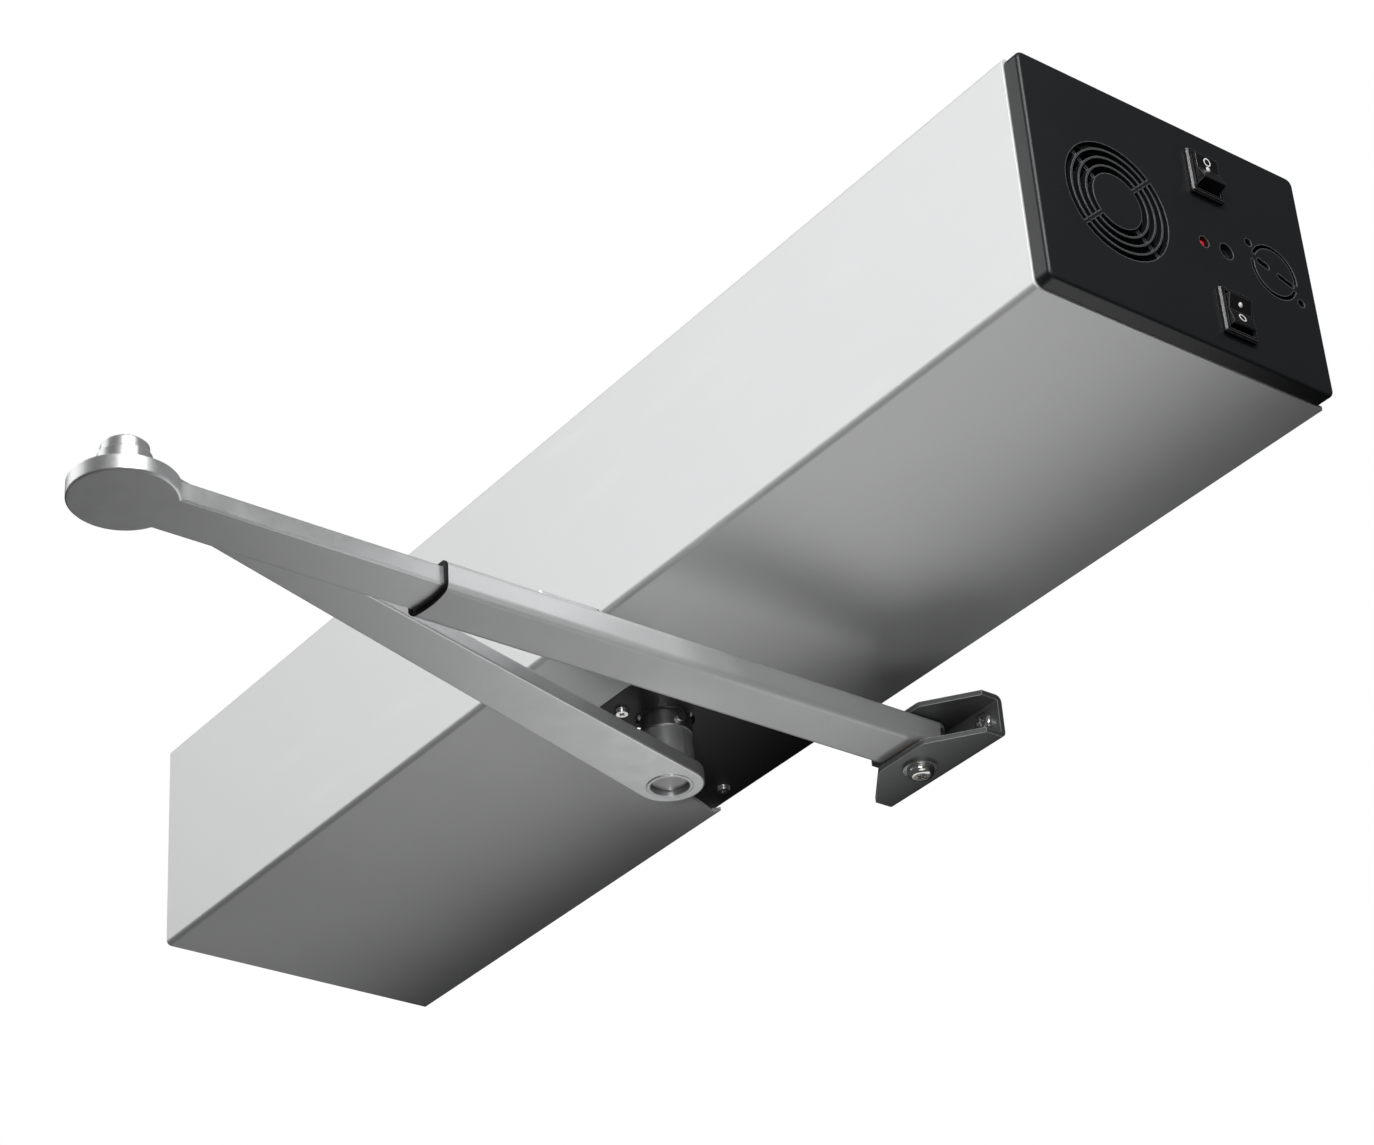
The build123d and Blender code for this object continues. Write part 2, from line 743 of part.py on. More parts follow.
encoder_board_x = encoder_x - 7.5
with BuildPart() as encoder_board:
    with BuildSketch(across(encoder_board_x)):
        with Locations((spindle_y, motor_z)):
            RectangleRounded(42.0, 30.0, 2.0)
            Circle(5.0, mode=Mode.SUBTRACT)
    extrude(amount=1.6)
    with BuildSketch(across(encoder_board_x + 1.6)):
        with Locations((spindle_y - 18.0, motor_z), (spindle_y + 18.0, motor_z)):
            Circle(2.2)
    extrude(amount=motor_back - encoder_board_x - 1.6)

with BuildPart() as encoder_sensor:
    with BuildSketch(across(encoder_board_x + 1.6)):
        with Locations((spindle_y, motor_z + 11.6)):
            Rectangle(7.0, 6.0)
    extrude(amount=11.0)
    with BuildSketch(across(encoder_x - 2.4)):
        with Locations((spindle_y, motor_z + 9.6)):
            Rectangle(9.0, 8.2)
    extrude(amount=3.8, mode=Mode.SUBTRACT)

# ---------------------------------------------------------------- spindle collar and main arm
collar_bottom = -50.4
collar_top = shelf_bottom - 0.4
collar_radius = 9.8
set_screw_angles = (-5, 115, 235)
set_screw_z = -46.9


def set_screw_plane(angle):
    """Plane at the collar's axis whose normal points out along angle, in degrees."""
    turn = math.radians(angle)
    return Plane(origin=(spindle_x, spindle_y, set_screw_z), x_dir=(0, 0, 1),
                 z_dir=(math.cos(turn), math.sin(turn), 0))


with BuildPart() as spindle_collar:
    with BuildSketch(level(collar_bottom)):
        with Locations((spindle_x, spindle_y)):
            Circle(collar_radius)
            Circle(spindle_radius, mode=Mode.SUBTRACT)
    extrude(amount=collar_top - collar_bottom)
    fillet(spindle_collar.faces().sort_by(Axis.Z)[0].outer_wire().edges(), 0.5)
    for angle in set_screw_angles:
        with BuildSketch(set_screw_plane(angle).offset(spindle_radius)):
            Circle(1.3)
        extrude(amount=4.0, mode=Mode.SUBTRACT)
        with BuildSketch(set_screw_plane(angle).offset(collar_radius - 0.3)):
            Circle(2.3)
        extrude(amount=2.0, mode=Mode.SUBTRACT)

with BuildPart() as collar_set_screws:
    for angle in set_screw_angles:
        with BuildSketch(set_screw_plane(angle).offset(spindle_radius)):
            Circle(1.3)
        extrude(amount=collar_radius - spindle_radius - 0.3)
        with BuildSketch(set_screw_plane(angle).offset(collar_radius - 0.3)):
            Circle(2.1)
        extrude(amount=1.5)

recess_radius = 7.35
recess_depth = 3.2
hub_rim = -50.4
with BuildPart() as main_arm:
    with BuildSketch(level(arm_bottom)):
        with Locations((spindle_x, spindle_y)):
            Circle(arm_hub_radius)
        with Locations((elbow_x + arm_end_shift[0], elbow_y + arm_end_shift[1])):
            Circle(arm_end_radius)
        make_hull()
    extrude(amount=arm_thickness)
    chamfer(main_arm.edges().filter_by(GeomType.LINE).filter_by(Axis.Z, reverse=True), 0.5)
    # the blade thins towards the elbow, and the eye stands at full height
    with BuildSketch(Plane(origin=(elbow_x, elbow_y, arm_top), x_dir=(-arm_reach_x, -arm_reach_y, 0),
                           z_dir=(arm_reach_y, -arm_reach_x, 0))):
        with BuildLine():
            Polyline((-12, 1), (-12, -arm_relief), (8, -arm_relief), (arm_relief_length, 0),
                     (arm_relief_length, 1), close=True)
        make_face()
    extrude(amount=30, both=True, mode=Mode.SUBTRACT)
    with BuildSketch(level(arm_bottom)):
        with Locations((elbow_x, elbow_y)):
            Circle(arm_eye_radius)
    extrude(amount=arm_thickness)
    with BuildSketch(level(arm_bottom)):
        with Locations((spindle_x, spindle_y)):
            Circle(recess_radius + 1.2)
    extrude(amount=-0.4)
    with BuildSketch(level(arm_top)):
        with Locations((spindle_x, spindle_y)):
            Circle(10.0)
    with BuildSketch(level(hub_rim)):
        with Locations((spindle_x, spindle_y)):
            Circle(9.3)
    loft()
    with BuildSketch(level(arm_bottom - 0.4)):
        with Locations((spindle_x, spindle_y)):
            Circle(recess_radius)
    extrude(amount=recess_depth + 0.4, mode=Mode.SUBTRACT)
    with BuildSketch(level(arm_bottom)):
        with Locations((spindle_x, spindle_y)):
            Circle(3.0)
    extrude(amount=10.0, mode=Mode.SUBTRACT)
    with BuildSketch(level(spindle_bottom)):
        with Locations((spindle_x, spindle_y)):
            Circle(7.0)
    extrude(amount=hub_rim - spindle_bottom, mode=Mode.SUBTRACT)
    with BuildSketch(level(arm_bottom - 1.0)):
        with Locations((elbow_x, elbow_y)):
            Circle(6.5)
    extrude(amount=arm_thickness + 2.0, mode=Mode.SUBTRACT)

with BuildPart() as arm_bolt:
    with BuildSketch(level(arm_bottom + recess_depth)):
        with Locations((spindle_x, spindle_y)):
            Circle(7.0)
    extrude(amount=-1.6)
    fillet(arm_bolt.faces().sort_by(Axis.Z)[0].edges(), 0.5)
    with BuildSketch(level(arm_bottom + recess_depth)):
        with Locations((spindle_x, spindle_y)):
            Circle(3.0)
    extrude(amount=12.0)

with BuildPart() as elbow_bush:
    with BuildSketch(level(arm_bottom)):
        with Locations((elbow_x, elbow_y)):
            Circle(6.5)
            Circle(5.0, mode=Mode.SUBTRACT)
    extrude(amount=arm_thickness)

# ---------------------------------------------------------------- forearm
disc_top = forearm_bottom + elbow_disc_thickness
clamp_y = -165.0
clamp_screw_spots = ((elbow_x, clamp_y - 6.0), (elbow_x, clamp_y + 6.0))

with BuildPart() as forearm:
    with BuildSketch(level(forearm_bottom)):
        with Locations((elbow_x, (elbow_y + forearm_inner_end) / 2 + 7.0)):
            Rectangle(forearm_width, forearm_inner_end - elbow_y - 14.0)
    extrude(amount=forearm_height)
    with BuildSketch(level(forearm_bottom)):
        with Locations((elbow_x, elbow_y)):
            Circle(elbow_disc_radius)
    extrude(amount=elbow_disc_thickness)
    chamfer(forearm.edges().filter_by(Axis.Y), 0.5)
    chamfer(forearm.faces().sort_by(Axis.Z)[0].edges().filter_by(GeomType.CIRCLE), 0.5)
    with BuildSketch(level(forearm_bottom + 2.0)):
        with Locations((elbow_x, elbow_y)):
            Circle(4.0)
    extrude(amount=10.0, mode=Mode.SUBTRACT)
    with BuildSketch(level(forearm_bottom + 1.5)):
        with Locations(*clamp_screw_spots):
            Circle(2.0)
    extrude(amount=10.0, mode=Mode.SUBTRACT)

elbow_head_bottom = arm_top + 0.3
with BuildPart() as elbow_bolt:
    with BuildSketch(level(forearm_bottom + 2.0)):
        with Locations((elbow_x, elbow_y)):
            Circle(4.0)
    extrude(amount=disc_top - forearm_bottom - 2.0)
    with BuildSketch(level(disc_top)):
        with Locations((elbow_x, elbow_y)):
            Circle(4.97)
    extrude(amount=elbow_head_bottom - disc_top)
    with BuildSketch(level(elbow_head_bottom)):
        with Locations((elbow_x, elbow_y)):
            Circle(7.7)
            RegularPolygon(3.0, 6, mode=Mode.SUBTRACT)
    extrude(amount=4.0)
    with BuildSketch(level(elbow_head_bottom)):
        with Locations((elbow_x, elbow_y)):
            Circle(5.0)
    extrude(amount=1.4)
    chamfer(elbow_bolt.faces().sort_by(Axis.Z)[-1].outer_wire().edges(), 0.7)

with BuildPart() as elbow_spacer:
    with BuildSketch(level(disc_top)):
        with Locations((elbow_x, elbow_y)):
            Circle(8.4)
            Circle(4.97, mode=Mode.SUBTRACT)
    extrude(amount=arm_bottom - disc_top - 0.3)

with BuildPart() as clamp_plate:
    with BuildSketch(level(channel_top + 0.1)):
        with Locations((elbow_x, clamp_y)):
            RectangleRounded(16.0, 26.0, 2.0)
        with Locations(*clamp_screw_spots):
            Circle(2.0, mode=Mode.SUBTRACT)
    extrude(amount=1.8)
    with BuildSketch(level(forearm_top)):
        with Locations((elbow_x, clamp_y)):
            Rectangle(9.6, 24.0)
        with Locations(*clamp_screw_spots):
            Circle(2.0, mode=Mode.SUBTRACT)
    extrude(amount=channel_top + 0.1 - forearm_top)

with BuildPart() as clamp_screws:
    for spot in clamp_screw_spots:
        with BuildSketch(level(forearm_bottom + 1.5)):
            with Locations(spot):
                Circle(2.0)
        extrude(amount=channel_top + 1.9 - forearm_bottom - 1.5)
        with BuildSketch(level(channel_top + 1.9)):
            with Locations(spot):
                Circle(3.5)
                RegularPolygon(1.6, 6, mode=Mode.SUBTRACT)
        extrude(amount=2.6)
        with BuildSketch(level(channel_top + 1.9)):
            with Locations(spot):
                Circle(2.0)
        extrude(amount=0.8)

# ---------------------------------------------------------------- channel
channel_middle = channel_bottom + channel_height / 2
end_round_radius = 10.1
with BuildPart() as channel:
    with BuildSketch(Plane.XZ.offset(-channel_mouth)):
        with Locations((elbow_x, channel_middle)):
            RectangleRounded(channel_width, channel_height, 2.6)
            RectangleRounded(channel_width - 2 * channel_sheet, channel_height - 2 * channel_sheet, 1.0,
                             mode=Mode.SUBTRACT)
        with Locations((elbow_x, channel_top)):
            Rectangle(10.4, 4.0, mode=Mode.SUBTRACT)
    extrude(amount=-(shoe_pivot_y + 12.0 - channel_mouth))
    # plan shape: square along the arm, round about the shoe's pivot
    with BuildSketch(level(channel_bottom)):
        with Locations((elbow_x, (channel_mouth + shoe_pivot_y + 1.0) / 2)):
            Rectangle(channel_width, shoe_pivot_y + 1.0 - channel_mouth)
        with Locations((elbow_x, shoe_pivot_y)):
            Circle(end_round_radius)
    extrude(amount=channel_height, mode=Mode.INTERSECT)
    # the side walls' upper corner is rounded off at the shoe end
    with BuildSketch(across(elbow_x - channel_width)):
        with Locations(((channel_mouth + 5.0) / 2, channel_middle)):
            side = Rectangle(5.0 - channel_mouth, channel_height)
        corner = side.vertices().group_by(Axis.X)[-1].sort_by(Axis.Y)[-1]
        fillet(corner, 7.0)
    extrude(amount=2 * channel_width, mode=Mode.INTERSECT)
    # the floor's mouth is cut to a shallow hollow
    with BuildSketch(level(channel_bottom)):
        with Locations((elbow_x, channel_mouth - 42.0)):
            Circle(43.5)
    extrude(amount=channel_sheet + 1.0, mode=Mode.SUBTRACT)
    with BuildSketch(level(channel_bottom)):
        with Locations((elbow_x, shoe_pivot_y)):
            Circle(5.0)
    extrude(amount=channel_sheet, mode=Mode.SUBTRACT)

# ---------------------------------------------------------------- shoe
shoe_screw_spread = 47.0
shoe_screw_z = shoe_bottom + shoe_height / 2
ear_shoulder = 9.1
ear_nose_half = 12.0
shoe_front_y = shoe_face_y - shoe_depth

with BuildPart() as shoe:
    with BuildSketch(across(shoe_x - shoe_length / 2)):
        with Locations((shoe_face_y - shoe_depth / 2, shoe_bottom + shoe_height / 2)):
            shoe_outer = Rectangle(shoe_depth, shoe_height)
        fillet(shoe_outer.vertices().group_by(Axis.X)[-1], 2.5)
    extrude(amount=shoe_length)
    with BuildSketch(across(shoe_x - shoe_length / 2)):
        with Locations((shoe_face_y - shoe_sheet - shoe_depth / 2, shoe_bottom + shoe_height / 2)):
            shoe_inner = Rectangle(shoe_depth, shoe_height - 2 * shoe_sheet)
        fillet(shoe_inner.vertices().group_by(Axis.X)[-1], 0.6)
    extrude(amount=shoe_length, mode=Mode.SUBTRACT)
    with BuildSketch(level(shoe_bottom)):
        with BuildLine():
            Polyline(
                (shoe_x - shoe_length / 2, shoe_face_y),
                (shoe_x - shoe_length / 2, shoe_face_y - ear_shoulder),
                (shoe_x - ear_nose_half, shoe_front_y),
                (shoe_x + ear_nose_half, shoe_front_y),
                (shoe_x + shoe_length / 2, shoe_face_y - ear_shoulder),
                (shoe_x + shoe_length / 2, shoe_face_y),
                close=True,
            )
        plan = make_face()
        fillet(plan.vertices().group_by(Axis.Y)[0], 3.0)
        fillet(plan.vertices().filter_by_position(Axis.Y, shoe_face_y - ear_shoulder - 0.1,
                                                  shoe_face_y - ear_shoulder + 0.1), 2.5)
    extrude(amount=shoe_height, mode=Mode.INTERSECT)
    with BuildSketch(level(shoe_bottom)):
        with Locations((elbow_x, shoe_pivot_y)):
            Circle(3.0)
    extrude(amount=shoe_height, mode=Mode.SUBTRACT)
    with BuildSketch(Plane.XZ.offset(-shoe_face_y)):
        with Locations((shoe_x, shoe_screw_z)):
            with GridLocations(shoe_screw_spread, 1, 2, 1):
                Circle(2.6)
    extrude(amount=shoe_sheet, mode=Mode.SUBTRACT)

with BuildPart() as shoe_bolt_washer:
    with BuildSketch(level(shoe_bottom)):
        with Locations((elbow_x, shoe_pivot_y)):
            Circle(6.4)
            Circle(3.0, mode=Mode.SUBTRACT)
    extrude(amount=-1.2)

with BuildPart() as shoe_bolt:
    with BuildSketch(level(shoe_bottom - 1.2)):
        with Locations((elbow_x, shoe_pivot_y)):
            Circle(4.9)
    extrude(amount=-2.8)
    fillet(shoe_bolt.faces().sort_by(Axis.Z)[0].edges(), 2.0)
    with BuildSketch(level(shoe_bottom - 4.0)):
        with Locations((elbow_x, shoe_pivot_y)):
            Rectangle(4.4, 1.0)
            Rectangle(1.0, 4.4)
    extrude(amount=1.4, mode=Mode.SUBTRACT)
    with BuildSketch(level(shoe_bottom - 1.2)):
        with Locations((elbow_x, shoe_pivot_y)):
            Circle(3.0)
    extrude(amount=shoe_height + 1.2 + 5.0)

with BuildPart() as shoe_nut:
    with BuildSketch(level(shoe_top)):
        with Locations((elbow_x, shoe_pivot_y)):
            RegularPolygon(5.0, 6, major_radius=False)
            Circle(3.0, mode=Mode.SUBTRACT)
    extrude(amount=4.0)
    chamfer(shoe_nut.faces().sort_by(Axis.Z)[-1].outer_wire().edges(), 0.5)

with BuildPart() as pivot_washer:
    with BuildSketch(level(shoe_bottom + shoe_sheet)):
        with Locations((elbow_x, shoe_pivot_y)):
            Circle(9.0)
            Circle(4.97, mode=Mode.SUBTRACT)
    extrude(amount=channel_bottom - 0.2 - shoe_bottom - shoe_sheet)

with BuildPart() as pivot_sleeve:
    with BuildSketch(level(shoe_bottom + shoe_sheet)):
        with Locations((elbow_x, shoe_pivot_y)):
            Circle(4.97)
            Circle(3.0, mode=Mode.SUBTRACT)
    extrude(amount=shoe_height - 2 * shoe_sheet)

shoe_inner_face = shoe_face_y - shoe_sheet
with BuildPart() as shoe_screws:
    for side in (-0.5, 0.5):
        screw_x = shoe_x + side * shoe_screw_spread
        with BuildSketch(Plane.XZ.offset(-shoe_inner_face)):
            with Locations((screw_x, shoe_screw_z)):
                Circle(4.2)
        extrude(amount=2.6)
        with BuildSketch(Plane.XZ.offset(-shoe_inner_face)):
            with Locations((screw_x, shoe_screw_z)):
                Circle(2.5)
        extrude(amount=-shoe_sheet)
    fillet(shoe_screws.faces().group_by(Axis.Y)[0].edges(), 1.6)
    with BuildSketch(Plane.XZ.offset(2.6 - shoe_inner_face)):
        with Locations((shoe_x, shoe_screw_z)):
            with GridLocations(shoe_screw_spread, 1, 2, 1):
                Rectangle(4.0, 0.9)
                Rectangle(0.9, 4.0)
    extrude(amount=-1.2, mode=Mode.SUBTRACT)

# ---------------------------------------------------------------- electronics
board_left = 60.0
board_right = 200.0
board_y = -12.0
board_thickness = 1.6
board_front = -board_y + board_thickness       # distance of the board's front face from the wall
standoff_spots = ((board_left + 5, 33.0), (board_left + 5, -33.0), (board_right - 5, 33.0),
                  (board_right - 5, -33.0))

with BuildPart() as board_standoffs:
    for spot in standoff_spots:
        with BuildSketch(Plane.XZ.offset(chassis_sheet)):
            with Locations(spot):
                RegularPolygon(3.5, 6)
        extrude(amount=-board_y - chassis_sheet)
        with BuildSketch(Plane.XZ.offset(board_front)):
            with Locations(spot):
                Circle(2.9)
        extrude(amount=1.8)
        with BuildSketch(Plane.XZ.offset(-board_y)):
            with Locations(spot):
                Circle(1.5)
        extrude(amount=board_thickness)

with BuildPart() as main_board:
    with BuildSketch(Plane.XZ.offset(-board_y)):
        with Locations(((board_left + board_right) / 2, 0)):
            RectangleRounded(board_right - board_left, 76.0, 1.5)
        with Locations(*standoff_spots):
            Circle(1.5, mode=Mode.SUBTRACT)
    extrude(amount=board_thickness)

with BuildPart() as relays:
    with BuildSketch(Plane.XZ.offset(board_front)):
        with Locations((84, 26), (84, 6)):
            RectangleRounded(20.0, 16.0, 0.8)
    extrude(amount=16.0)
    chamfer(relays.faces().group_by(Axis.Y)[0].edges(), 0.6)

with BuildPart() as capacitors:
    with BuildSketch(Plane.XZ.offset(board_front)):
        with Locations((112, 25), (134, 25), (154, 25)):
            Circle(8.0)
    extrude(amount=26.0)
    fillet(capacitors.faces().group_by(Axis.Y)[0].edges(), 0.8)

terminal_poles = 12
terminal_pitch = 5.08
terminal_left = 108.0
with BuildPart() as terminal_blocks:
    with BuildSketch(Plane.XZ.offset(board_front)):
        with Locations((terminal_left + terminal_poles * terminal_pitch / 2, -28.0)):
            Rectangle(terminal_poles * terminal_pitch, 11.0)
    extrude(amount=13.0)
    for pole in range(terminal_poles):
        pole_x = terminal_left + (pole + 0.5) * terminal_pitch
        with BuildSketch(Plane.XZ.offset(board_front + 13.0)):
            with Locations((pole_x, -27.0)):
                Circle(1.9)
        extrude(amount=-4.0, mode=Mode.SUBTRACT)
        with BuildSketch(level(-33.5)):
            with Locations((pole_x, -board_front - 5.5)):
                Rectangle(3.6, 4.6)
        extrude(amount=3.5, mode=Mode.SUBTRACT)

fin_count = 7
with BuildPart() as heat_sink:
    with BuildSketch(level(-19.0)):
        with Locations((184, -board_front - 2.0)):
            Rectangle(26.0, 4.0)
        with Locations((184, -board_front - 11.0)):
            with GridLocations(4.0, 1, fin_count, 1):
                Rectangle(1.6, 16.0)
    extrude(amount=46.0)

psu_left = 62.0
psu_right = 168.0
psu_front = -110.0
psu_back = -62.0
psu_top = -3.0
with BuildPart() as power_supply:
    with BuildSketch(level(shelf_top)):
        with Locations(((psu_left + psu_right) / 2, (psu_front + psu_back) / 2)):
            RectangleRounded(psu_right - psu_left, psu_back - psu_front, 1.5)
    extrude(amount=psu_top - shelf_top)
    with BuildSketch(level(psu_top)):
        with Locations(((psu_left + psu_right) / 2 - 6, (psu_front + psu_back) / 2)):
            with GridLocations(7.0, 7.0, 11, 5):
                RegularPolygon(2.4, 6)
    extrude(amount=-2.0, mode=Mode.SUBTRACT)
    with BuildSketch(level(psu_top)):
        with Locations((psu_right - 5.0, (psu_front + psu_back) / 2)):
            Rectangle(10.0, psu_back - psu_front)
    extrude(amount=-24.0, mode=Mode.SUBTRACT)
    with BuildSketch(level(psu_top - 24.0)):
        with Locations((psu_right - 4.5, (psu_front + psu_back) / 2)):
            with GridLocations(1, 9.0, 1, 5):
                Rectangle(8.0, 7.4)
    extrude(amount=9.0)

# ---------------------------------------------------------------- write every piece
pieces = {
    "cover": cover,
    "chassis": chassis,
    "left_end_plate": left_end_plate,
    "end_cap": end_cap,
    "end_screws": end_screws,
    "power_switch_body": power_switch_body,
    "power_rocker": power_rocker,
    "mode_switch_body": mode_switch_body,
    "mode_rocker": mode_rocker,
    "switch_board": switch_board,
    "status_led": status_led,
    "learn_switch": learn_switch,
    "learn_button": learn_button,
    "fan_frame": fan_frame,
    "fan_impeller": fan_impeller,
    "fan_screws": fan_screws,
    "gearbox_base": gearbox_base,
    "gearbox_lid": gearbox_lid,
    "lid_screws": lid_screws,
    "lower_bearing": lower_bearing,
    "upper_bearing": upper_bearing,
    "output_gear": output_gear,
    "output_spindle": output_spindle,
    "pinion": pinion,
    "shelf_screws": shelf_screws,
    "gearhead": gearhead,
    "gearhead_screws": gearhead_screws,
    "motor_can": motor_can,
    "motor_end_bell": motor_end_bell,
    "motor_magnets": motor_magnets,
    "motor_rotor": motor_rotor,
    "encoder_disc": encoder_disc,
    "encoder_board": encoder_board,
    "encoder_sensor": encoder_sensor,
    "spindle_collar": spindle_collar,
    "collar_set_screws": collar_set_screws,
    "main_arm": main_arm,
    "arm_bolt": arm_bolt,
    "elbow_bush": elbow_bush,
    "forearm": forearm,
    "elbow_bolt": elbow_bolt,
    "elbow_spacer": elbow_spacer,
    "clamp_plate": clamp_plate,
    "clamp_screws": clamp_screws,
    "channel": channel,
    "shoe": shoe,
    "shoe_bolt": shoe_bolt,
    "shoe_bolt_washer": shoe_bolt_washer,
    "shoe_nut": shoe_nut,
    "pivot_washer": pivot_washer,
    "pivot_sleeve": pivot_sleeve,
    "shoe_screws": shoe_screws,
    "board_standoffs": board_standoffs,
    "main_board": main_board,
    "relays": relays,
    "capacitors": capacitors,
    "terminal_blocks": terminal_blocks,
    "heat_sink": heat_sink,
    "power_supply": power_supply,
}
for name, piece in pieces.items():
    piece.part.label = name
    export_step(piece.part, f"parts/{name}.step")
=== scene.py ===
"""Looks of a surface-mounted swing-door operator with a folding push arm.

Lengths are metres in the part's own frame: +X runs along the body towards the switch cap,
-Y points away from the wall and +Z is up. The arm hangs below the body.
"""

from __future__ import annotations

import json
import logging
import math
from dataclasses import dataclass
from enum import Enum
from typing import Any

import bpy
import numpy as np
from mathutils import Matrix, Vector

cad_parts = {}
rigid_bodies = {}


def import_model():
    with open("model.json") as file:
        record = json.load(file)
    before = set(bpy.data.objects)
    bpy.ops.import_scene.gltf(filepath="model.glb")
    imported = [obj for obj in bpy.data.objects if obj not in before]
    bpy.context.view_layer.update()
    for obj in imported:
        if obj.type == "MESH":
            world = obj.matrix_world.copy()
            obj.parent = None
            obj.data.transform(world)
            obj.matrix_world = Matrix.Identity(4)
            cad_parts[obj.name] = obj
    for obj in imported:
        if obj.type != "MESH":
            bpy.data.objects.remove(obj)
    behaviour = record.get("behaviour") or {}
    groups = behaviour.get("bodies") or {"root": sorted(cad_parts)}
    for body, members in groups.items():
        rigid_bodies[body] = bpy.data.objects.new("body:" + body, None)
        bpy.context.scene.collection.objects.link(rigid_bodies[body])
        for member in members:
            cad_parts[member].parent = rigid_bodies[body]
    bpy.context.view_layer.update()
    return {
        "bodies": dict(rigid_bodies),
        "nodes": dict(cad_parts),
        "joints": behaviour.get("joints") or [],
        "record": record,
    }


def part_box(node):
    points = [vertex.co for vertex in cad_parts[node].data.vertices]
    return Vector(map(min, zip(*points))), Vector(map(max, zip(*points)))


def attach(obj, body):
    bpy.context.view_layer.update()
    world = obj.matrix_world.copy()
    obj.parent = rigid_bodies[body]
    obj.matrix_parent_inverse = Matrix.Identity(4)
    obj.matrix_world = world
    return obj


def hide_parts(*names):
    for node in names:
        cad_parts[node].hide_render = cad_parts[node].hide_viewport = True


LOG = logging.getLogger("door_operator")
Colour = tuple[float, float, float]
Point = tuple[float, float, float]
MM = 0.001


class Axis(Enum):
    """Direction that a turned or brushed finish is laid about."""

    X = 0
    Y = 1
    Z = 2


# ------------------------------------------------------------------ shader building


class Value:
    """A number that varies over a surface; arithmetic on it adds Math nodes."""

    def __init__(self, shader: "Shader", socket: bpy.types.NodeSocket) -> None:
        """Wraps one output socket of a shader."""
        self.shader = shader
        self.socket = socket

    def _math(self, operation: str, first: Any, second: Any) -> "Value":
        """Adds one Math node.

        Args:
            operation: the Math node's operation.
            first: value or number for its first input.
            second: value or number for its second input.

        Returns:
            The node's result.
        """
        return self.shader.value("ShaderNodeMath", {"operation": operation}, {0: first, 1: second})

    def __add__(self, other: Any) -> "Value":
        """Sum."""
        return self._math("ADD", self, other)

    __radd__ = __add__

    def __sub__(self, other: Any) -> "Value":
        """Difference."""
        return self._math("SUBTRACT", self, other)

    def __rsub__(self, other: Any) -> "Value":
        """Difference with the value second."""
        return self._math("SUBTRACT", other, self)

    def __mul__(self, other: Any) -> "Value":
        """Product."""
        return self._math("MULTIPLY", self, other)

    __rmul__ = __mul__

    def __pow__(self, other: Any) -> "Value":
        """Power."""
        return self._math("POWER", self, other)

    def band(self, low: float, high: float) -> "Value":
        """Smooth step.

        Args:
            low: input at which the result is 0.
            high: input at which the result is 1.

        Returns:
            The stepped value.
        """
        settings = {"interpolation_type": "SMOOTHSTEP"}
        inputs = {"Value": self, "From Min": low, "From Max": high}
        return self.shader.value("ShaderNodeMapRange", settings, inputs)


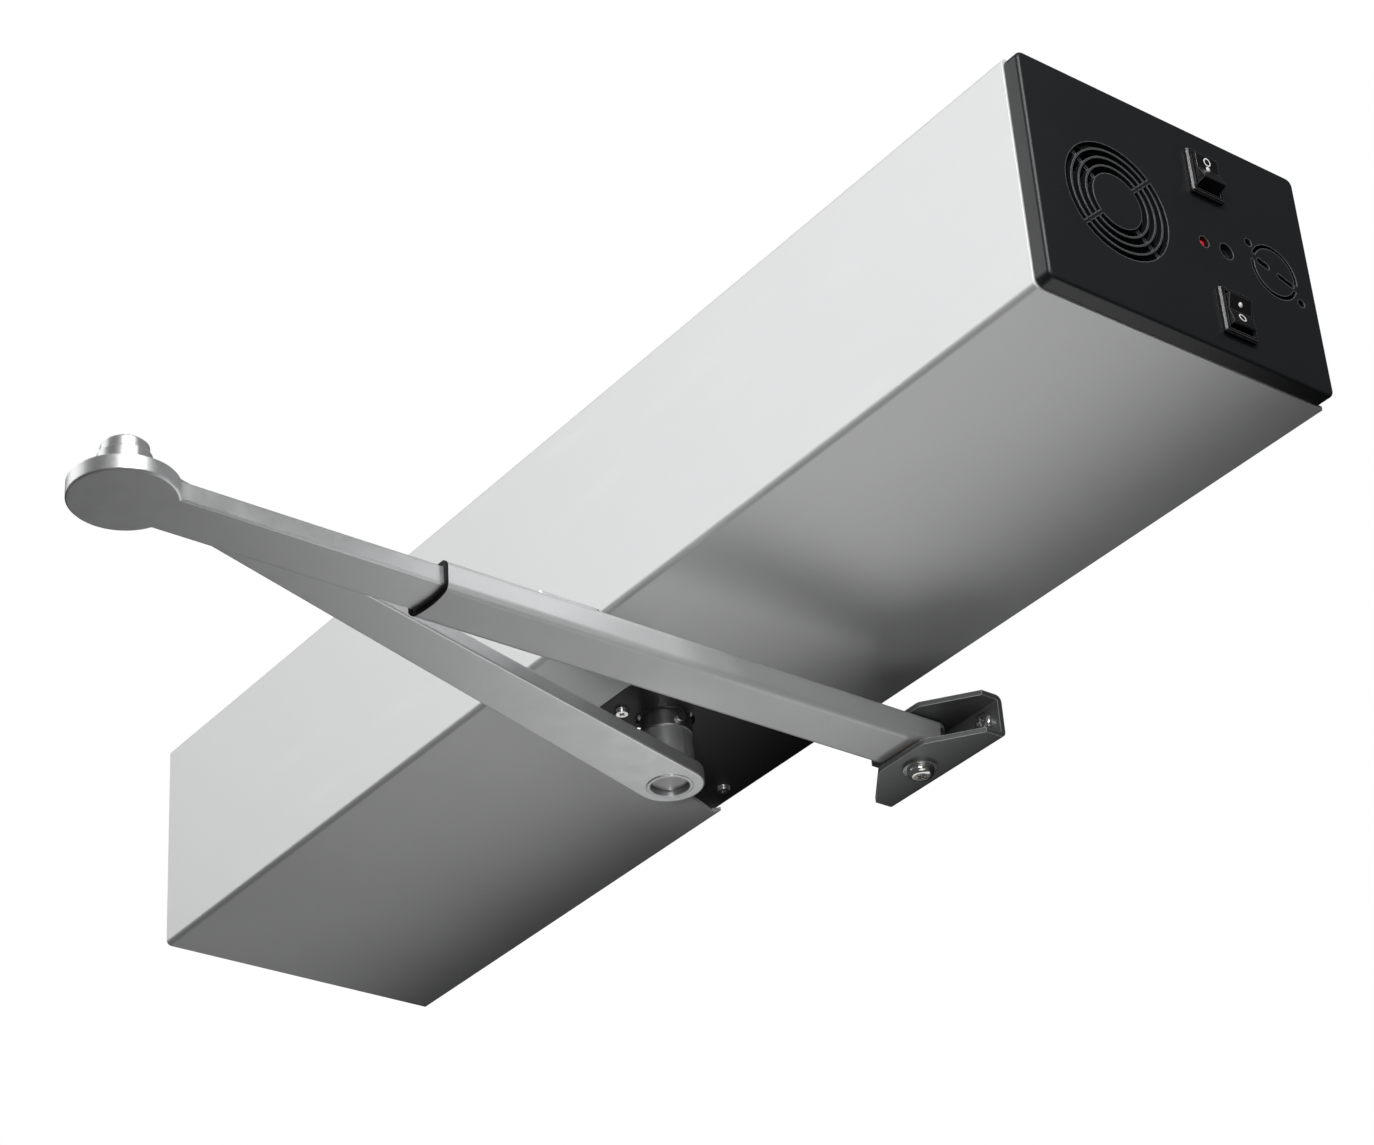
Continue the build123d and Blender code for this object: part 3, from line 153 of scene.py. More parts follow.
class Shader:
    """One material under construction, with a single way of adding nodes."""

    def __init__(self, name: str) -> None:
        """Empties the material of that name, or makes it, and gives it one plain surface."""
        self.material = bpy.data.materials.get(name) or bpy.data.materials.new(name)
        self.material.use_nodes = True
        self.tree = self.material.node_tree
        self.tree.nodes.clear()
        self.surface = self.tree.nodes.new("ShaderNodeBsdfPrincipled")
        output = self.tree.nodes.new("ShaderNodeOutputMaterial")
        self.tree.links.new(self.surface.outputs["BSDF"], output.inputs["Surface"])

    def node(self, kind: str, settings: dict[str, Any], inputs: dict[Any, Any]) -> bpy.types.Node:
        """Adds any node.

        Args:
            kind: node type.
            settings: its properties, set first; "stops" fills a colour ramp.
            inputs: socket name, identifier or index, with a number, colour or Value for each.

        Returns:
            The new node.
        """
        made = self.tree.nodes.new(kind)
        for key, setting in settings.items():
            if key == "stops":
                for index, (position, colour) in enumerate(setting):
                    stops = made.color_ramp.elements
                    stop = stops[index] if index < 2 else stops.new(position)
                    stop.position = position
                    stop.color = (*colour, 1.0)
            else:
                setattr(made, key, setting)
        self.feed(made, inputs)
        return made

    def feed(self, node: bpy.types.Node, inputs: dict[Any, Any]) -> None:
        """Sets or links the sockets of a node.

        Args:
            node: the node.
            inputs: socket name, identifier or index, with a number, colour or Value for each.
        """
        for key, given in inputs.items():
            if isinstance(key, int):
                socket = node.inputs[key]
            else:
                socket = next(s for s in node.inputs if key in (s.identifier, s.name) and s.enabled)
            if isinstance(given, Value):
                self.tree.links.new(given.socket, socket)
            else:
                socket.default_value = given

    def value(self, kind: str, settings: dict[str, Any], inputs: dict[Any, Any], output: Any = 0) -> Value:
        """Adds a node and wraps one of its outputs.

        Args:
            kind: node type.
            settings: its properties.
            inputs: its sockets.
            output: name or index of the output.

        Returns:
            The output as a Value.
        """
        made = self.node(kind, settings, inputs)
        if isinstance(output, int):
            return Value(self, made.outputs[output])
        return Value(self, next(s for s in made.outputs if output in (s.identifier, s.name)))

    def place(self, centre: Point = (0.0, 0.0, 0.0), scale: Point = (1.0, 1.0, 1.0)) -> Value:
        """Object coordinates, moved and stretched.

        Args:
            centre: point that becomes the pattern's origin.
            scale: stretch of the pattern along each axis.

        Returns:
            The coordinates.
        """
        raw = self.value("ShaderNodeTexCoord", {}, {}, "Object")
        moved = self.value("ShaderNodeVectorMath", {"operation": "SUBTRACT"}, {0: raw, 1: centre})
        return self.value("ShaderNodeVectorMath", {"operation": "MULTIPLY"}, {0: moved, 1: scale})

    def noise(self, where: Value, scale: float, detail: float = 3.0, rough: float = 0.5) -> Value:
        """Fractal noise around one half."""
        inputs = {"Vector": where, "Scale": scale, "Detail": detail, "Roughness": rough}
        return self.value("ShaderNodeTexNoise", {}, inputs)

    def cells(self, where: Value, scale: float, feature: str = "F1") -> Value:
        """Distance pattern of scattered cells."""
        return self.value("ShaderNodeTexVoronoi", {"feature": feature}, {"Vector": where, "Scale": scale})

    def blend(self, factor: Any, first: Any, second: Any) -> Value:
        """Mixes two colours.

        Args:
            factor: share of the second colour.
            first: colour or Value.
            second: colour or Value.

        Returns:
            The mixed colour.
        """
        inputs = {"Factor_Float": factor}
        for socket, given in (("A_Color", first), ("B_Color", second)):
            inputs[socket] = given if isinstance(given, Value) else (*given, 1.0)
        return self.value("ShaderNodeMix", {"data_type": "RGBA"}, inputs, "Result_Color")

    def bump(self, height: Value, distance: float, strength: float = 1.0,
             under: Value | None = None) -> Value:
        """Surface relief.

        Args:
            height: relief from 0 to 1.
            distance: its full height in metres.
            strength: share of the relief that shows.
            under: relief that this one lies on.

        Returns:
            The bent normal.
        """
        inputs = {"Height": height, "Distance": distance, "Strength": strength}
        if under is not None:
            inputs["Normal"] = under
        return self.value("ShaderNodeBump", {}, inputs)

    def soft_edge(self, radius: float) -> Value:
        """Normal rounded over the edges by radius."""
        return self.value("ShaderNodeBevel", {"samples": 4}, {"Radius": radius})

    def highlight_edge_mask(self, radius: float) -> Value:
        """How near a point is to an edge, the mask for painted edge highlights: 0 on a flat, 1 on the edge
        itself.

        The measure is 1 - n.b, where n is the face's normal and b the normal softened over the radius.
        """
        true = self.value("ShaderNodeNewGeometry", {}, {}, "Normal")
        soft = self.value("ShaderNodeBevel", {"samples": 6}, {"Radius": radius})
        turned = self.value("ShaderNodeVectorMath", {"operation": "DOT_PRODUCT"}, {0: true, 1: soft}, "Value")
        return (1.0 - turned).band(0.002, 0.03)


# ------------------------------------------------------------------ finishes

# Materials already built, by name: a slot's own material is rebuilt only once.
BUILT: dict[str, bpy.types.Material] = {}


@dataclass(frozen=True)
class Finish:
    """What every finish has: a name, a colour, how it shines, and a paler colour painted along its edges as a
    highlight.
    """

    name: str
    colour: Colour
    roughness: float = 0.5
    metallic: float = 0.0
    edge: float = 0.0
    specular: float = 0.5
    edge_highlight: Colour | None = None
    edge_highlight_width: float = 0.0004

    def material(self) -> bpy.types.Material:
        """Builds the material once.

        Returns:
            The material of this name.
        """
        if self.name not in BUILT:
            shader = Shader(self.name)
            shader.feed(shader.surface, {"Metallic": self.metallic, "Specular IOR Level": self.specular})
            self.paint(shader)
            BUILT[self.name] = shader.material
        return BUILT[self.name]

    def paint(self, shader: Shader) -> None:
        """Lays the finish on a shader."""
        raise NotImplementedError

    def apply(self, shader: Shader, colour: Any, roughness: Any, relief: Value | None) -> None:
        """Feeds the worked-out channels into the surface.

        Args:
            shader: the shader.
            colour: colour over the surface.
            roughness: roughness over the surface.
            relief: bent normal, if any.
        """
        # Edges get a paler colour painted on: a painted highlight where they catch the light.
        if self.edge_highlight is not None:
            colour = shader.blend(shader.highlight_edge_mask(self.edge_highlight_width), colour, self.edge_highlight)
        shader.feed(shader.surface, {"Base Color": colour, "Roughness": roughness})
        if relief is not None:
            shader.feed(shader.surface, {"Normal": relief})

    def under(self, shader: Shader) -> Value | None:
        """Rounded-edge normal to lay relief on, where the finish has one."""
        return shader.soft_edge(self.edge) if self.edge > 0 else None


def toned(colour: Colour, factor: float) -> Colour:
    """Colour made lighter or darker by factor."""
    return tuple(min(1.0, channel * factor) for channel in colour)


@dataclass(frozen=True)
class SatinCoat(Finish):
    """Sprayed satin coat on sheet: a fine orange peel, faint clouds and light handling marks."""

    peel: float = 700.0
    peel_height: float = 6e-6

    def paint(self, shader: Shader) -> None:
        """Lays the coat on a shader."""
        place = shader.place()
        peel = shader.noise(place, self.peel, 2.0)
        clouds = shader.noise(place, 9.0, 3.0)
        rubs = shader.noise(shader.place(scale=(14.0, 120.0, 120.0)), 1.0, 5.0, 0.62).band(0.55, 0.72)
        colour = shader.blend(clouds.band(0.3, 0.7), toned(self.colour, 0.97), toned(self.colour, 1.02))
        rough = self.roughness + (clouds - 0.5) * 0.10 + (peel - 0.5) * 0.06 - rubs * 0.03
        relief = shader.bump(peel, self.peel_height, 1.0, self.under(shader))
        self.apply(shader, colour, rough, relief)


@dataclass(frozen=True)
class CastPaint(Finish):
    """Silver paint on a casting: metal flake, soft lumps of the mould and a cloudy tone."""

    def paint(self, shader: Shader) -> None:
        """Lays the paint on a shader."""
        place = shader.place()
        flake = shader.cells(place, 2600.0)
        lumps = shader.noise(place, 160.0, 4.0, 0.55)
        clouds = shader.noise(place, 22.0, 3.0)
        tone = (clouds - 0.5) * 0.5 + (flake - 0.4) * 0.5 + 0.5
        colour = shader.blend(tone, toned(self.colour, 0.90), toned(self.colour, 1.10))
        rough = self.roughness + (lumps - 0.5) * 0.16 + (flake - 0.4) * 0.10
        relief = shader.bump(lumps, 3.0e-5, 0.8, self.under(shader))
        relief = shader.bump(flake, 4e-6, 0.7, relief)
        self.apply(shader, colour, rough, relief)


@dataclass(frozen=True)
class GrainedPlastic(Finish):
    """Moulded plastic with an etched grain, pale specks in the grain and a rubbed, patchy sheen."""

    grain: float = 1500.0
    grain_height: float = 3.0e-5
    speck_share: float = 0.05

    def paint(self, shader: Shader) -> None:
        """Lays the grain on a shader."""
        place = shader.place()
        grain = shader.noise(place, self.grain, 2.0, 0.6)
        specks = shader.noise(place, self.grain * 0.8, 1.0).band(0.66, 0.76)
        sheen = shader.noise(place, 30.0, 4.0)
        colour = shader.blend(specks * self.speck_share, self.colour, (0.8, 0.8, 0.8))
        rough = self.roughness + (sheen - 0.5) * 0.12 + (grain - 0.5) * 0.15
        relief = shader.bump(grain, self.grain_height, 0.6, self.under(shader))
        self.apply(shader, colour, rough, relief)


@dataclass(frozen=True)
class Plating(Finish):
    """Bright zinc plate: metal with hair scratches and a faint tint that drifts."""

    tint: Colour = (0.78, 0.76, 0.70)

    def paint(self, shader: Shader) -> None:
        """Lays the plate on a shader."""
        place = shader.place()
        drift = shader.noise(place, 260.0, 3.0)
        scratches = shader.noise(shader.place(scale=(900.0, 5200.0, 900.0)), 1.0, 3.0, 0.7)
        colour = shader.blend(drift.band(0.35, 0.7), self.colour, self.tint)
        rough = self.roughness + (drift - 0.5) * 0.12 + scratches.band(0.55, 0.75) * 0.12
        relief = shader.bump(scratches, 8e-6, 0.5, self.under(shader))
        self.apply(shader, colour, rough, relief)


@dataclass(frozen=True)
class TurnedMetal(Finish):
    """Metal turned on a lathe about one axis: fine rings and a little oil."""

    axis: Axis = Axis.Z
    centre: Point = (0.0, 0.0, 0.0)
    pitch: float = 0.00022

    def paint(self, shader: Shader) -> None:
        """Lays the turning marks on a shader."""
        flat = tuple(0.0 if i == self.axis.value else 1.0 for i in range(3))
        along = tuple(1.0 if i == self.axis.value else 0.0 for i in range(3))
        reach = shader.value("ShaderNodeVectorMath", {"operation": "LENGTH"},
                             {0: shader.place(self.centre, flat)}, "Value")
        height = shader.value("ShaderNodeVectorMath", {"operation": "DOT_PRODUCT"},
                              {0: shader.place(self.centre), 1: along}, "Value")
        turns = (reach + height) * (2.0 * math.pi / self.pitch)
        rings = shader.value("ShaderNodeMath", {"operation": "SINE"}, {0: turns}) * 0.5 + 0.5
        oil = shader.noise(shader.place(), 45.0, 4.0)
        colour = shader.blend(oil.band(0.35, 0.75), self.colour, toned(self.colour, 0.78))
        rough = self.roughness + (oil - 0.5) * 0.2 + rings * 0.05
        relief = shader.bump(rings, 4e-6, 0.6, self.under(shader))
        self.apply(shader, colour, rough, relief)


@dataclass(frozen=True)
class SandCasting(Finish):
    """Bare aluminium casting: sandy relief and dull grey patches."""

    def paint(self, shader: Shader) -> None:
        """Lays the sandy skin on a shader."""
        place = shader.place()
        sand = shader.noise(place, 900.0, 4.0, 0.6)
        patch = shader.noise(place, 40.0, 4.0)
        colour = shader.blend(patch.band(0.3, 0.7), toned(self.colour, 0.82), toned(self.colour, 1.08))
        rough = self.roughness + (sand - 0.5) * 0.3
        relief = shader.bump(sand, 6e-5, 0.8, self.under(shader))
        self.apply(shader, colour, rough, relief)


@dataclass(frozen=True)
class CircuitBoard(Finish):
    """Lacquered board: copper tracks showing through the lacquer, with tinned pads."""

    pad: Colour = (0.62, 0.62, 0.60)

    def paint(self, shader: Shader) -> None:
        """Lays tracks and pads on a shader."""
        place = shader.place()
        blocks = {"Vector": shader.place(scale=(1.0, 1.0, 1.7)), "Scale": 150.0}
        tracks = shader.value("ShaderNodeTexVoronoi", {"distance": "CHEBYCHEV"}, blocks)
        line = tracks.band(0.30, 0.33) * (1.0 - tracks.band(0.40, 0.43))
        pads = 1.0 - shader.cells(place, 330.0).band(0.16, 0.20)
        copper = shader.blend(line, self.colour, toned(self.colour, 2.1))
        colour = shader.blend(pads, copper, self.pad)
        rough = self.roughness + shader.noise(place, 90.0) * 0.12 - pads * 0.08
        relief = shader.bump(line + pads, 3e-5, 0.7, self.under(shader))
        self.apply(shader, colour, rough, relief)


@dataclass(frozen=True)
class Lens(Finish):
    """Clear coloured lens of a lamp, glowing a little."""

    glow: float = 1.5

    def paint(self, shader: Shader) -> None:
        """Lays the lens on a shader."""
        cloud = shader.noise(shader.place(), 500.0, 2.0)
        colour = shader.blend(cloud, self.colour, toned(self.colour, 1.3))
        self.apply(shader, colour, self.roughness + (cloud - 0.5) * 0.05, None)
        shader.feed(shader.surface, {"Emission Color": (*self.colour, 1.0), "Emission Strength": self.glow})


@dataclass(frozen=True)
class PaleSweep(Finish):
    """Matt pale floor with a faint mottle, lifted by a glow so that it stays pale far from the lamps."""

    glow: float = 0.5

    def paint(self, shader: Shader) -> None:
        """Lays the mottle and the glow on a shader."""
        mottle = shader.noise(shader.place(), 3.0, 4.0)
        colour = shader.blend(mottle, toned(self.colour, 0.92), self.colour)
        self.apply(shader, colour, self.roughness + (mottle - 0.5) * 0.1, None)
        shader.feed(shader.surface, {"Emission Color": (*self.colour, 1.0), "Emission Strength": self.glow})
        shader.material.cycles.emission_sampling = "NONE"


@dataclass(frozen=True)
class Palette:
    """Every finish on the operator."""

    # The pale edge colours given to the cover, cap, switches, arm, channel and shoe are painted highlights
    # along their edges.
    cover: SatinCoat = SatinCoat("cover_paint", (0.83, 0.835, 0.84), 0.45, 0.30, 0.0004,
                                 edge_highlight=(1.0, 1.0, 1.0), edge_highlight_width=0.0006)
    chassis: SatinCoat = SatinCoat("chassis_black", (0.018, 0.018, 0.019), 0.42, 0.0, 0.0003, 0.35,
                                   peel=900.0, peel_height=1e-5)
    cap: GrainedPlastic = GrainedPlastic("cap_plastic", (0.0085, 0.0095, 0.0112), 0.42, 0.0, 0.0003,
                                         edge_highlight=(0.15, 0.155, 0.16), edge_highlight_width=0.00055,
                                         grain_height=4e-6, speck_share=0.006)
    switch: GrainedPlastic = GrainedPlastic("switch_plastic", (0.006, 0.006, 0.0065), 0.24, 0.0, 0.0003, 0.4,
                                            edge_highlight=(0.10, 0.10, 0.105), edge_highlight_width=0.0004, grain=2400.0,
                                            grain_height=6e-6, speck_share=0.0)
    fan: GrainedPlastic = GrainedPlastic("fan_plastic", (0.008, 0.008, 0.009), 0.42, 0.0, 0.0002, 0.3,
                                         grain=900.0, grain_height=1e-5, speck_share=0.005)
    # Arm and channel edges are painted near white: painted highlight on their chamfers.
    arm: CastPaint = CastPaint("arm_silver", (0.64, 0.645, 0.65), 0.36, 0.85, 0.0008, edge_highlight=(0.95, 0.95, 0.96),
                               edge_highlight_width=0.0006)
    channel: CastPaint = CastPaint("channel_silver", (0.64, 0.645, 0.65), 0.42, 0.35, 0.0004,
                                   edge_highlight=(0.95, 0.95, 0.96), edge_highlight_width=0.0006)
    shoe: SatinCoat = SatinCoat("shoe_steel", (0.20, 0.205, 0.205), 0.42, 0.45, 0.0004,
                                edge_highlight=(0.75, 0.75, 0.75), edge_highlight_width=0.0004, peel=500.0, peel_height=1.2e-5)
    zinc: Plating = Plating("zinc", (0.80, 0.81, 0.83), 0.20, 1.0, 0.0002)
    steel_z: TurnedMetal = TurnedMetal("steel_turned_z", (0.55, 0.55, 0.56), 0.30, 1.0, 0.0002,
                                       axis=Axis.Z, centre=(-0.012, -0.0595, 0.0))
    steel_x: TurnedMetal = TurnedMetal("steel_turned_x", (0.50, 0.51, 0.53), 0.33, 1.0, 0.0002,
                                       axis=Axis.X, centre=(0.0, -0.0595, 0.014))
    collar: TurnedMetal = TurnedMetal("collar_steel", (0.34, 0.34, 0.345), 0.34, 1.0, 0.0002,
                                      axis=Axis.Z, centre=(-0.012, -0.0595, 0.0))
    bronze: TurnedMetal = TurnedMetal("bronze", (0.60, 0.40, 0.19), 0.38, 1.0, 0.0001,
                                      axis=Axis.Z, centre=(0.0661, -0.3268, 0.0))
    casting: SandCasting = SandCasting("cast_alu", (0.56, 0.565, 0.57), 0.52, 0.85, 0.0006)
    board: CircuitBoard = CircuitBoard("board_green", (0.010, 0.10, 0.040), 0.28)
    terminal: GrainedPlastic = GrainedPlastic("terminal_green", (0.02, 0.24, 0.09), 0.42, 0.0, 0.0002,
                                              grain=1200.0, grain_height=1e-5, speck_share=0.0)
    relay: GrainedPlastic = GrainedPlastic("relay_body", (0.02, 0.06, 0.24), 0.30, 0.0, 0.0003,
                                           grain=1200.0, grain_height=6e-6, speck_share=0.0)
    sleeve: GrainedPlastic = GrainedPlastic("capacitor_sleeve", (0.012, 0.014, 0.03), 0.26, 0.0, 0.0002,
                                            grain=700.0, grain_height=4e-6, speck_share=0.0)
    magnet: SandCasting = SandCasting("magnet", (0.06, 0.06, 0.065), 0.6, 0.2, 0.0002)
    psu: Plating = Plating("psu_cage", (0.66, 0.67, 0.68), 0.36, 1.0, 0.0004, tint=(0.60, 0.61, 0.62))
    lamp: Lens = Lens("led_red", (0.45, 0.010, 0.012), 0.15, glow=0.5)
    mark: GrainedPlastic = GrainedPlastic("switch_mark", (0.85, 0.85, 0.85), 0.5,
                                          grain=2400.0, grain_height=4e-6, speck_share=0.0)
    chip: GrainedPlastic = GrainedPlastic("chip_black", (0.015, 0.015, 0.016), 0.5, 0.0, 0.0001, 0.4,
                                          grain=2000.0, grain_height=6e-6, speck_share=0.0)
    # Near-black strip for the channel's mouth: painted shade for the shadow gap between the channel and the
    # forearm.
    mouth_shade: GrainedPlastic = GrainedPlastic("edge_rubber", (0.006, 0.006, 0.006), 0.6, 0.0, 0.0001, 0.2,
                                            grain=1800.0, grain_height=8e-6, speck_share=0.0)
    flag: SatinCoat = SatinCoat("studio_flag", (0.01, 0.01, 0.01), 0.8, peel=60.0, peel_height=1e-5)
    floor: PaleSweep = PaleSweep("studio_floor", (0.80, 0.80, 0.80), 0.85)


PALETTE = Palette()


# ------------------------------------------------------------------ surfaces


@dataclass
class Surface:
    """Vertices and faces of a shape, joined to others before a mesh is made."""

    points: np.ndarray
    faces: np.ndarray

    @staticmethod
    def grid(points: np.ndarray, wrap_u: bool = False, wrap_v: bool = False) -> "Surface":
        """Quads over a grid: each face joins (i, j), (i+1, j), (i+1, j+1) and (i, j+1).

        Args:
            points: array of shape (u, v, 3).
            wrap_u: whether the last row joins the first.
            wrap_v: whether the last column joins the first.

        Returns:
            The surface.
        """
        nu, nv = points.shape[:2]
        index = np.arange(nu * nv).reshape(nu, nv)
        index = np.vstack([index, index[:1]]) if wrap_u else index
        index = np.hstack([index, index[:, :1]]) if wrap_v else index
        corners = (index[:-1, :-1], index[1:, :-1], index[1:, 1:], index[:-1, 1:])
        return Surface(points.reshape(-1, 3), np.stack(corners, axis=-1).reshape(-1, 4))

    @staticmethod
    def turned(profile: np.ndarray, centre: Point, axis: Axis, steps: int = 48) -> "Surface":
        """Surface of revolution: each (radius, height) of the profile is carried round the axis.

        Args:
            profile: array of (radius, height) pairs; it starts and ends on the axis when closed.
            centre: point on the axis at height 0.
            axis: direction of the axis.
            steps: number of steps round it.

        Returns:
            The surface.
        """
        turn = np.linspace(0.0, 2.0 * math.pi, steps, endpoint=False)
        radius, height = profile[:, 0][:, None], profile[:, 1][:, None]
        local = np.zeros((len(profile), steps, 3))
        local[..., (axis.value + 1) % 3] = radius * np.cos(turn)
        local[..., (axis.value + 2) % 3] = radius * np.sin(turn)
        local[..., axis.value] = height
        made = Surface.grid(local + np.array(centre), wrap_v=True)
        made.faces = made.faces[:, ::-1]
        return made

    @staticmethod
    def blocks(centres: np.ndarray, sizes: np.ndarray, chamfer: float = 0.12) -> "Surface":
        """Many blocks at once, each a box whose outer face, towards -Y, is drawn in by a chamfer.

        Args:
            centres: (n, 3) centres of the blocks' back faces.
            sizes: (n, 3) widths, heights out of the board and heights along Z.
            chamfer: share of the narrow width that the outer face is drawn in by.

        Returns:
            The surface.
        """
        ring = np.array([(-1, -1), (1, -1), (1, 1), (-1, 1)]) / 2.0
        inset = chamfer * np.minimum(sizes[:, 0], sizes[:, 2])[:, None]
        levels = []
        for depth, draw in ((0.0, 0.0), (1.0 - chamfer, 0.0), (1.0, 1.0)):
            x = ring[:, 0] * (sizes[:, 0:1] - 2.0 * draw * inset)
            z = ring[:, 1] * (sizes[:, 2:3] - 2.0 * draw * inset)
            y = np.broadcast_to(-depth * sizes[:, 1:2], x.shape)
            levels.append(np.stack([x, y, z], axis=-1) + centres[:, None, :])
        points = np.concatenate(levels, axis=1)
        side = [(a + 4 * k, (a + 1) % 4 + 4 * k, (a + 1) % 4 + 4 * k + 4, a + 4 * k + 4)
                for k in range(2) for a in range(4)]
        pattern = np.array([*side, (8, 9, 10, 11), (3, 2, 1, 0)])
        offsets = 12 * np.arange(len(centres))[:, None, None]
        return Surface(points.reshape(-1, 3), (pattern[None] + offsets).reshape(-1, 4))

    def __add__(self, other: "Surface") -> "Surface":
        """Both surfaces as one."""
        faces = np.vstack([self.faces, other.faces + len(self.points)])
        return Surface(np.vstack([self.points, other.points]), faces)

    def piece(self, name: str, finish: Finish, body: str, slot: str, smooth: bool = True) -> bpy.types.Object:
        """Makes the surface a named piece that rides on a body.

        Args:
            name: the piece's name.
            finish: what it is made of.
            body: the body that it moves with.
            slot: the record's material slot; not used.
            smooth: whether its faces are shaded smooth.

        Returns:
            The object.
        """
        mesh = bpy.data.meshes.new(name)
        mesh.from_pydata(self.points.tolist(), [], self.faces.tolist())
        mesh.validate()
        mesh.polygons.foreach_set("use_smooth", np.full(len(mesh.polygons), smooth))
        mesh.materials.append(finish.material())
        made = bpy.data.objects.new(name, mesh)
        bpy.context.scene.collection.objects.link(made)
        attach(made, body)
        LOG.info("%s: %d faces on %s", name, len(self.faces), body)
        return made


def dress(frame: dict[str, Any], finish: Finish, *nodes: str) -> None:
    """Gives carried-over nodes a finish.

    Args:
        frame: the loaded frame.
        finish: what they are made of.
        nodes: names of the nodes.
    """
    for node in nodes:
        materials = frame["nodes"][node].data.materials
        if len(materials) == 0:
            materials.append(finish.material())
        for index in range(len(materials)):
            materials[index] = finish.material()
        LOG.info("%s: %s", node, finish.name)


# ------------------------------------------------------------------ sub-assemblies


@dataclass
class Casing:
    """Cover, chassis and end plate of the body."""

    frame: dict[str, Any]

    def build(self) -> None:
        """Dresses the sheet-metal pieces and their screws."""
        dress(self.frame, PALETTE.cover, "cover")
        dress(self.frame, PALETTE.chassis, "chassis", "left_end_plate")
        dress(self.frame, PALETTE.zinc, "end_screws", "shelf_screws")


@dataclass
class SwitchCap:
    """End cap with its switches, lamp, button and fan."""

    frame: dict[str, Any]
    fan_centre: Point = (0.2552, -0.0895, -0.0015)
    blade_count: int = 7
    blade_root: float = 0.0088
    blade_tip: float = 0.0205
    pivot_x: float = 0.272
    rocker_half: float = 0.0059
    mark_lift: float = 0.00006

    def build(self) -> None:
        """Dresses the cap and adds the impeller and the marks on the rockers."""
        dress(self.frame, PALETTE.cap, "end_cap")
        dress(self.frame, PALETTE.switch, "power_switch_body", "power_rocker", "mode_switch_body",
              "mode_rocker", "learn_button", "learn_switch")
        dress(self.frame, PALETTE.board, "switch_board")
        dress(self.frame, PALETTE.lamp, "status_led")
        dress(self.frame, PALETTE.fan, "fan_frame")
        dress(self.frame, PALETTE.zinc, "fan_screws")
        self.impeller()
        self.marks("power", (-0.0468, 0.026), 0.0042, 12.0, 0.0034, 0.0007)
        self.marks("mode", (-0.043, -0.0284), 0.0034, 0.0, -0.0024, 0.0026)

    def impeller(self) -> None:
        """Swept, twisted blades round a domed hub, in place of the plain CAD blades."""
        hub = np.array([(0.0, 7.4), (6.0, 7.4), (8.7, 7.1), (9.4, 6.2), (9.5, 0.2), (8.3, 0.2), (8.3, 6.0),
                        (1.5, 6.2), (1.5, 0.0), (0.0, 0.0)]) * MM
        centre = tuple(np.array(self.fan_centre) + (2.2 * MM, 0.0, 0.0))
        made = Surface.turned(hub, centre, Axis.X, 56)
        for number in range(self.blade_count):
            made = made + self.blade(2.0 * math.pi * number / self.blade_count, centre)
        piece = made.piece("impeller", PALETTE.fan, "fan_impeller", "fan_plastic")
        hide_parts("fan_impeller")

    def blade(self, turn: float, centre: Point) -> Surface:
        """One blade: a lens section carried outwards, its pitch easing from root to tip.

        The section point at angle t is chord/2 * cos t along the blade and thick/2 * sin t across it,
        with a camber of a sine over the chord.

        Args:
            turn: the blade's place round the hub in radians.
            centre: centre of the hub's back.

        Returns:
            The surface.
        """
        share = np.linspace(0.0, 1.0, 12)[:, None]
        around = np.linspace(0.0, 2.0 * math.pi, 20, endpoint=False)[None, :]
        radius = self.blade_root + (self.blade_tip - self.blade_root) * share
        pitch = np.radians(50.0 - 16.0 * share)
        chord = (6.6 + 1.2 * share) * MM
        along = chord / 2.0 * np.cos(around)
        across = 0.45 * MM * np.sin(around) + 0.7 * MM * (1.0 - (2.0 * along / chord) ** 2)
        sweep = turn + 0.35 * share**2
        angle = sweep + (along * np.cos(pitch) - across * np.sin(pitch)) / radius
        height = 3.4 * MM + along * np.sin(pitch) + across * np.cos(pitch) * 0.6
        points = np.stack([height + centre[0], radius * np.cos(angle) + centre[1],
                           radius * np.sin(angle) + centre[2]], axis=-1)
        ends = np.concatenate([points[:1].mean(axis=1, keepdims=True).repeat(20, axis=1), points,
                               points[-1:].mean(axis=1, keepdims=True).repeat(20, axis=1)])
        return Surface.grid(ends, wrap_v=True)

    def marks(self, switch: str, centre: tuple[float, float], ridge: float, tilt: float, ring_at: float,
              dot_at: float) -> None:
        """Ring and dot on the facets of a rocker, as raised print.

        Args:
            switch: which switch, "power" or "mode".
            centre: Y and Z of the rocker's middle.
            ridge: how far the rocker's ridges stand out from its pivot.
            tilt: how far its top is pressed, in degrees.
            ring_at: the ring's place along the rocker from its pivot.
            dot_at: the dot's place along the rocker from its pivot.
        """
        turn = np.linspace(0.0, 2.0 * math.pi, 32, endpoint=False)[None, :]
        ring_radius = np.array([1.1, 1.1, 1.6, 1.6])[:, None] * MM
        lift = np.array([-0.5, 1.0, 1.0, -0.5])[:, None]
        ring = self.facet(ring_radius * np.cos(turn), ring_at + ring_radius * np.sin(turn),
                          lift, centre, ridge, tilt)
        dot_radius = np.array([0.0, 0.9, 0.9, 0.0])[:, None] * MM
        dot = self.facet(dot_radius * np.cos(turn), dot_at + dot_radius * np.sin(turn),
                         np.array([-0.5, -0.5, 1.0, 1.0])[:, None], centre, ridge, tilt)
        marks = Surface.grid(ring, wrap_u=True, wrap_v=True) + Surface.grid(dot, wrap_v=True)
        marks.piece(f"{switch}_marks", PALETTE.mark, f"{switch}_rocker", "switch_plastic")

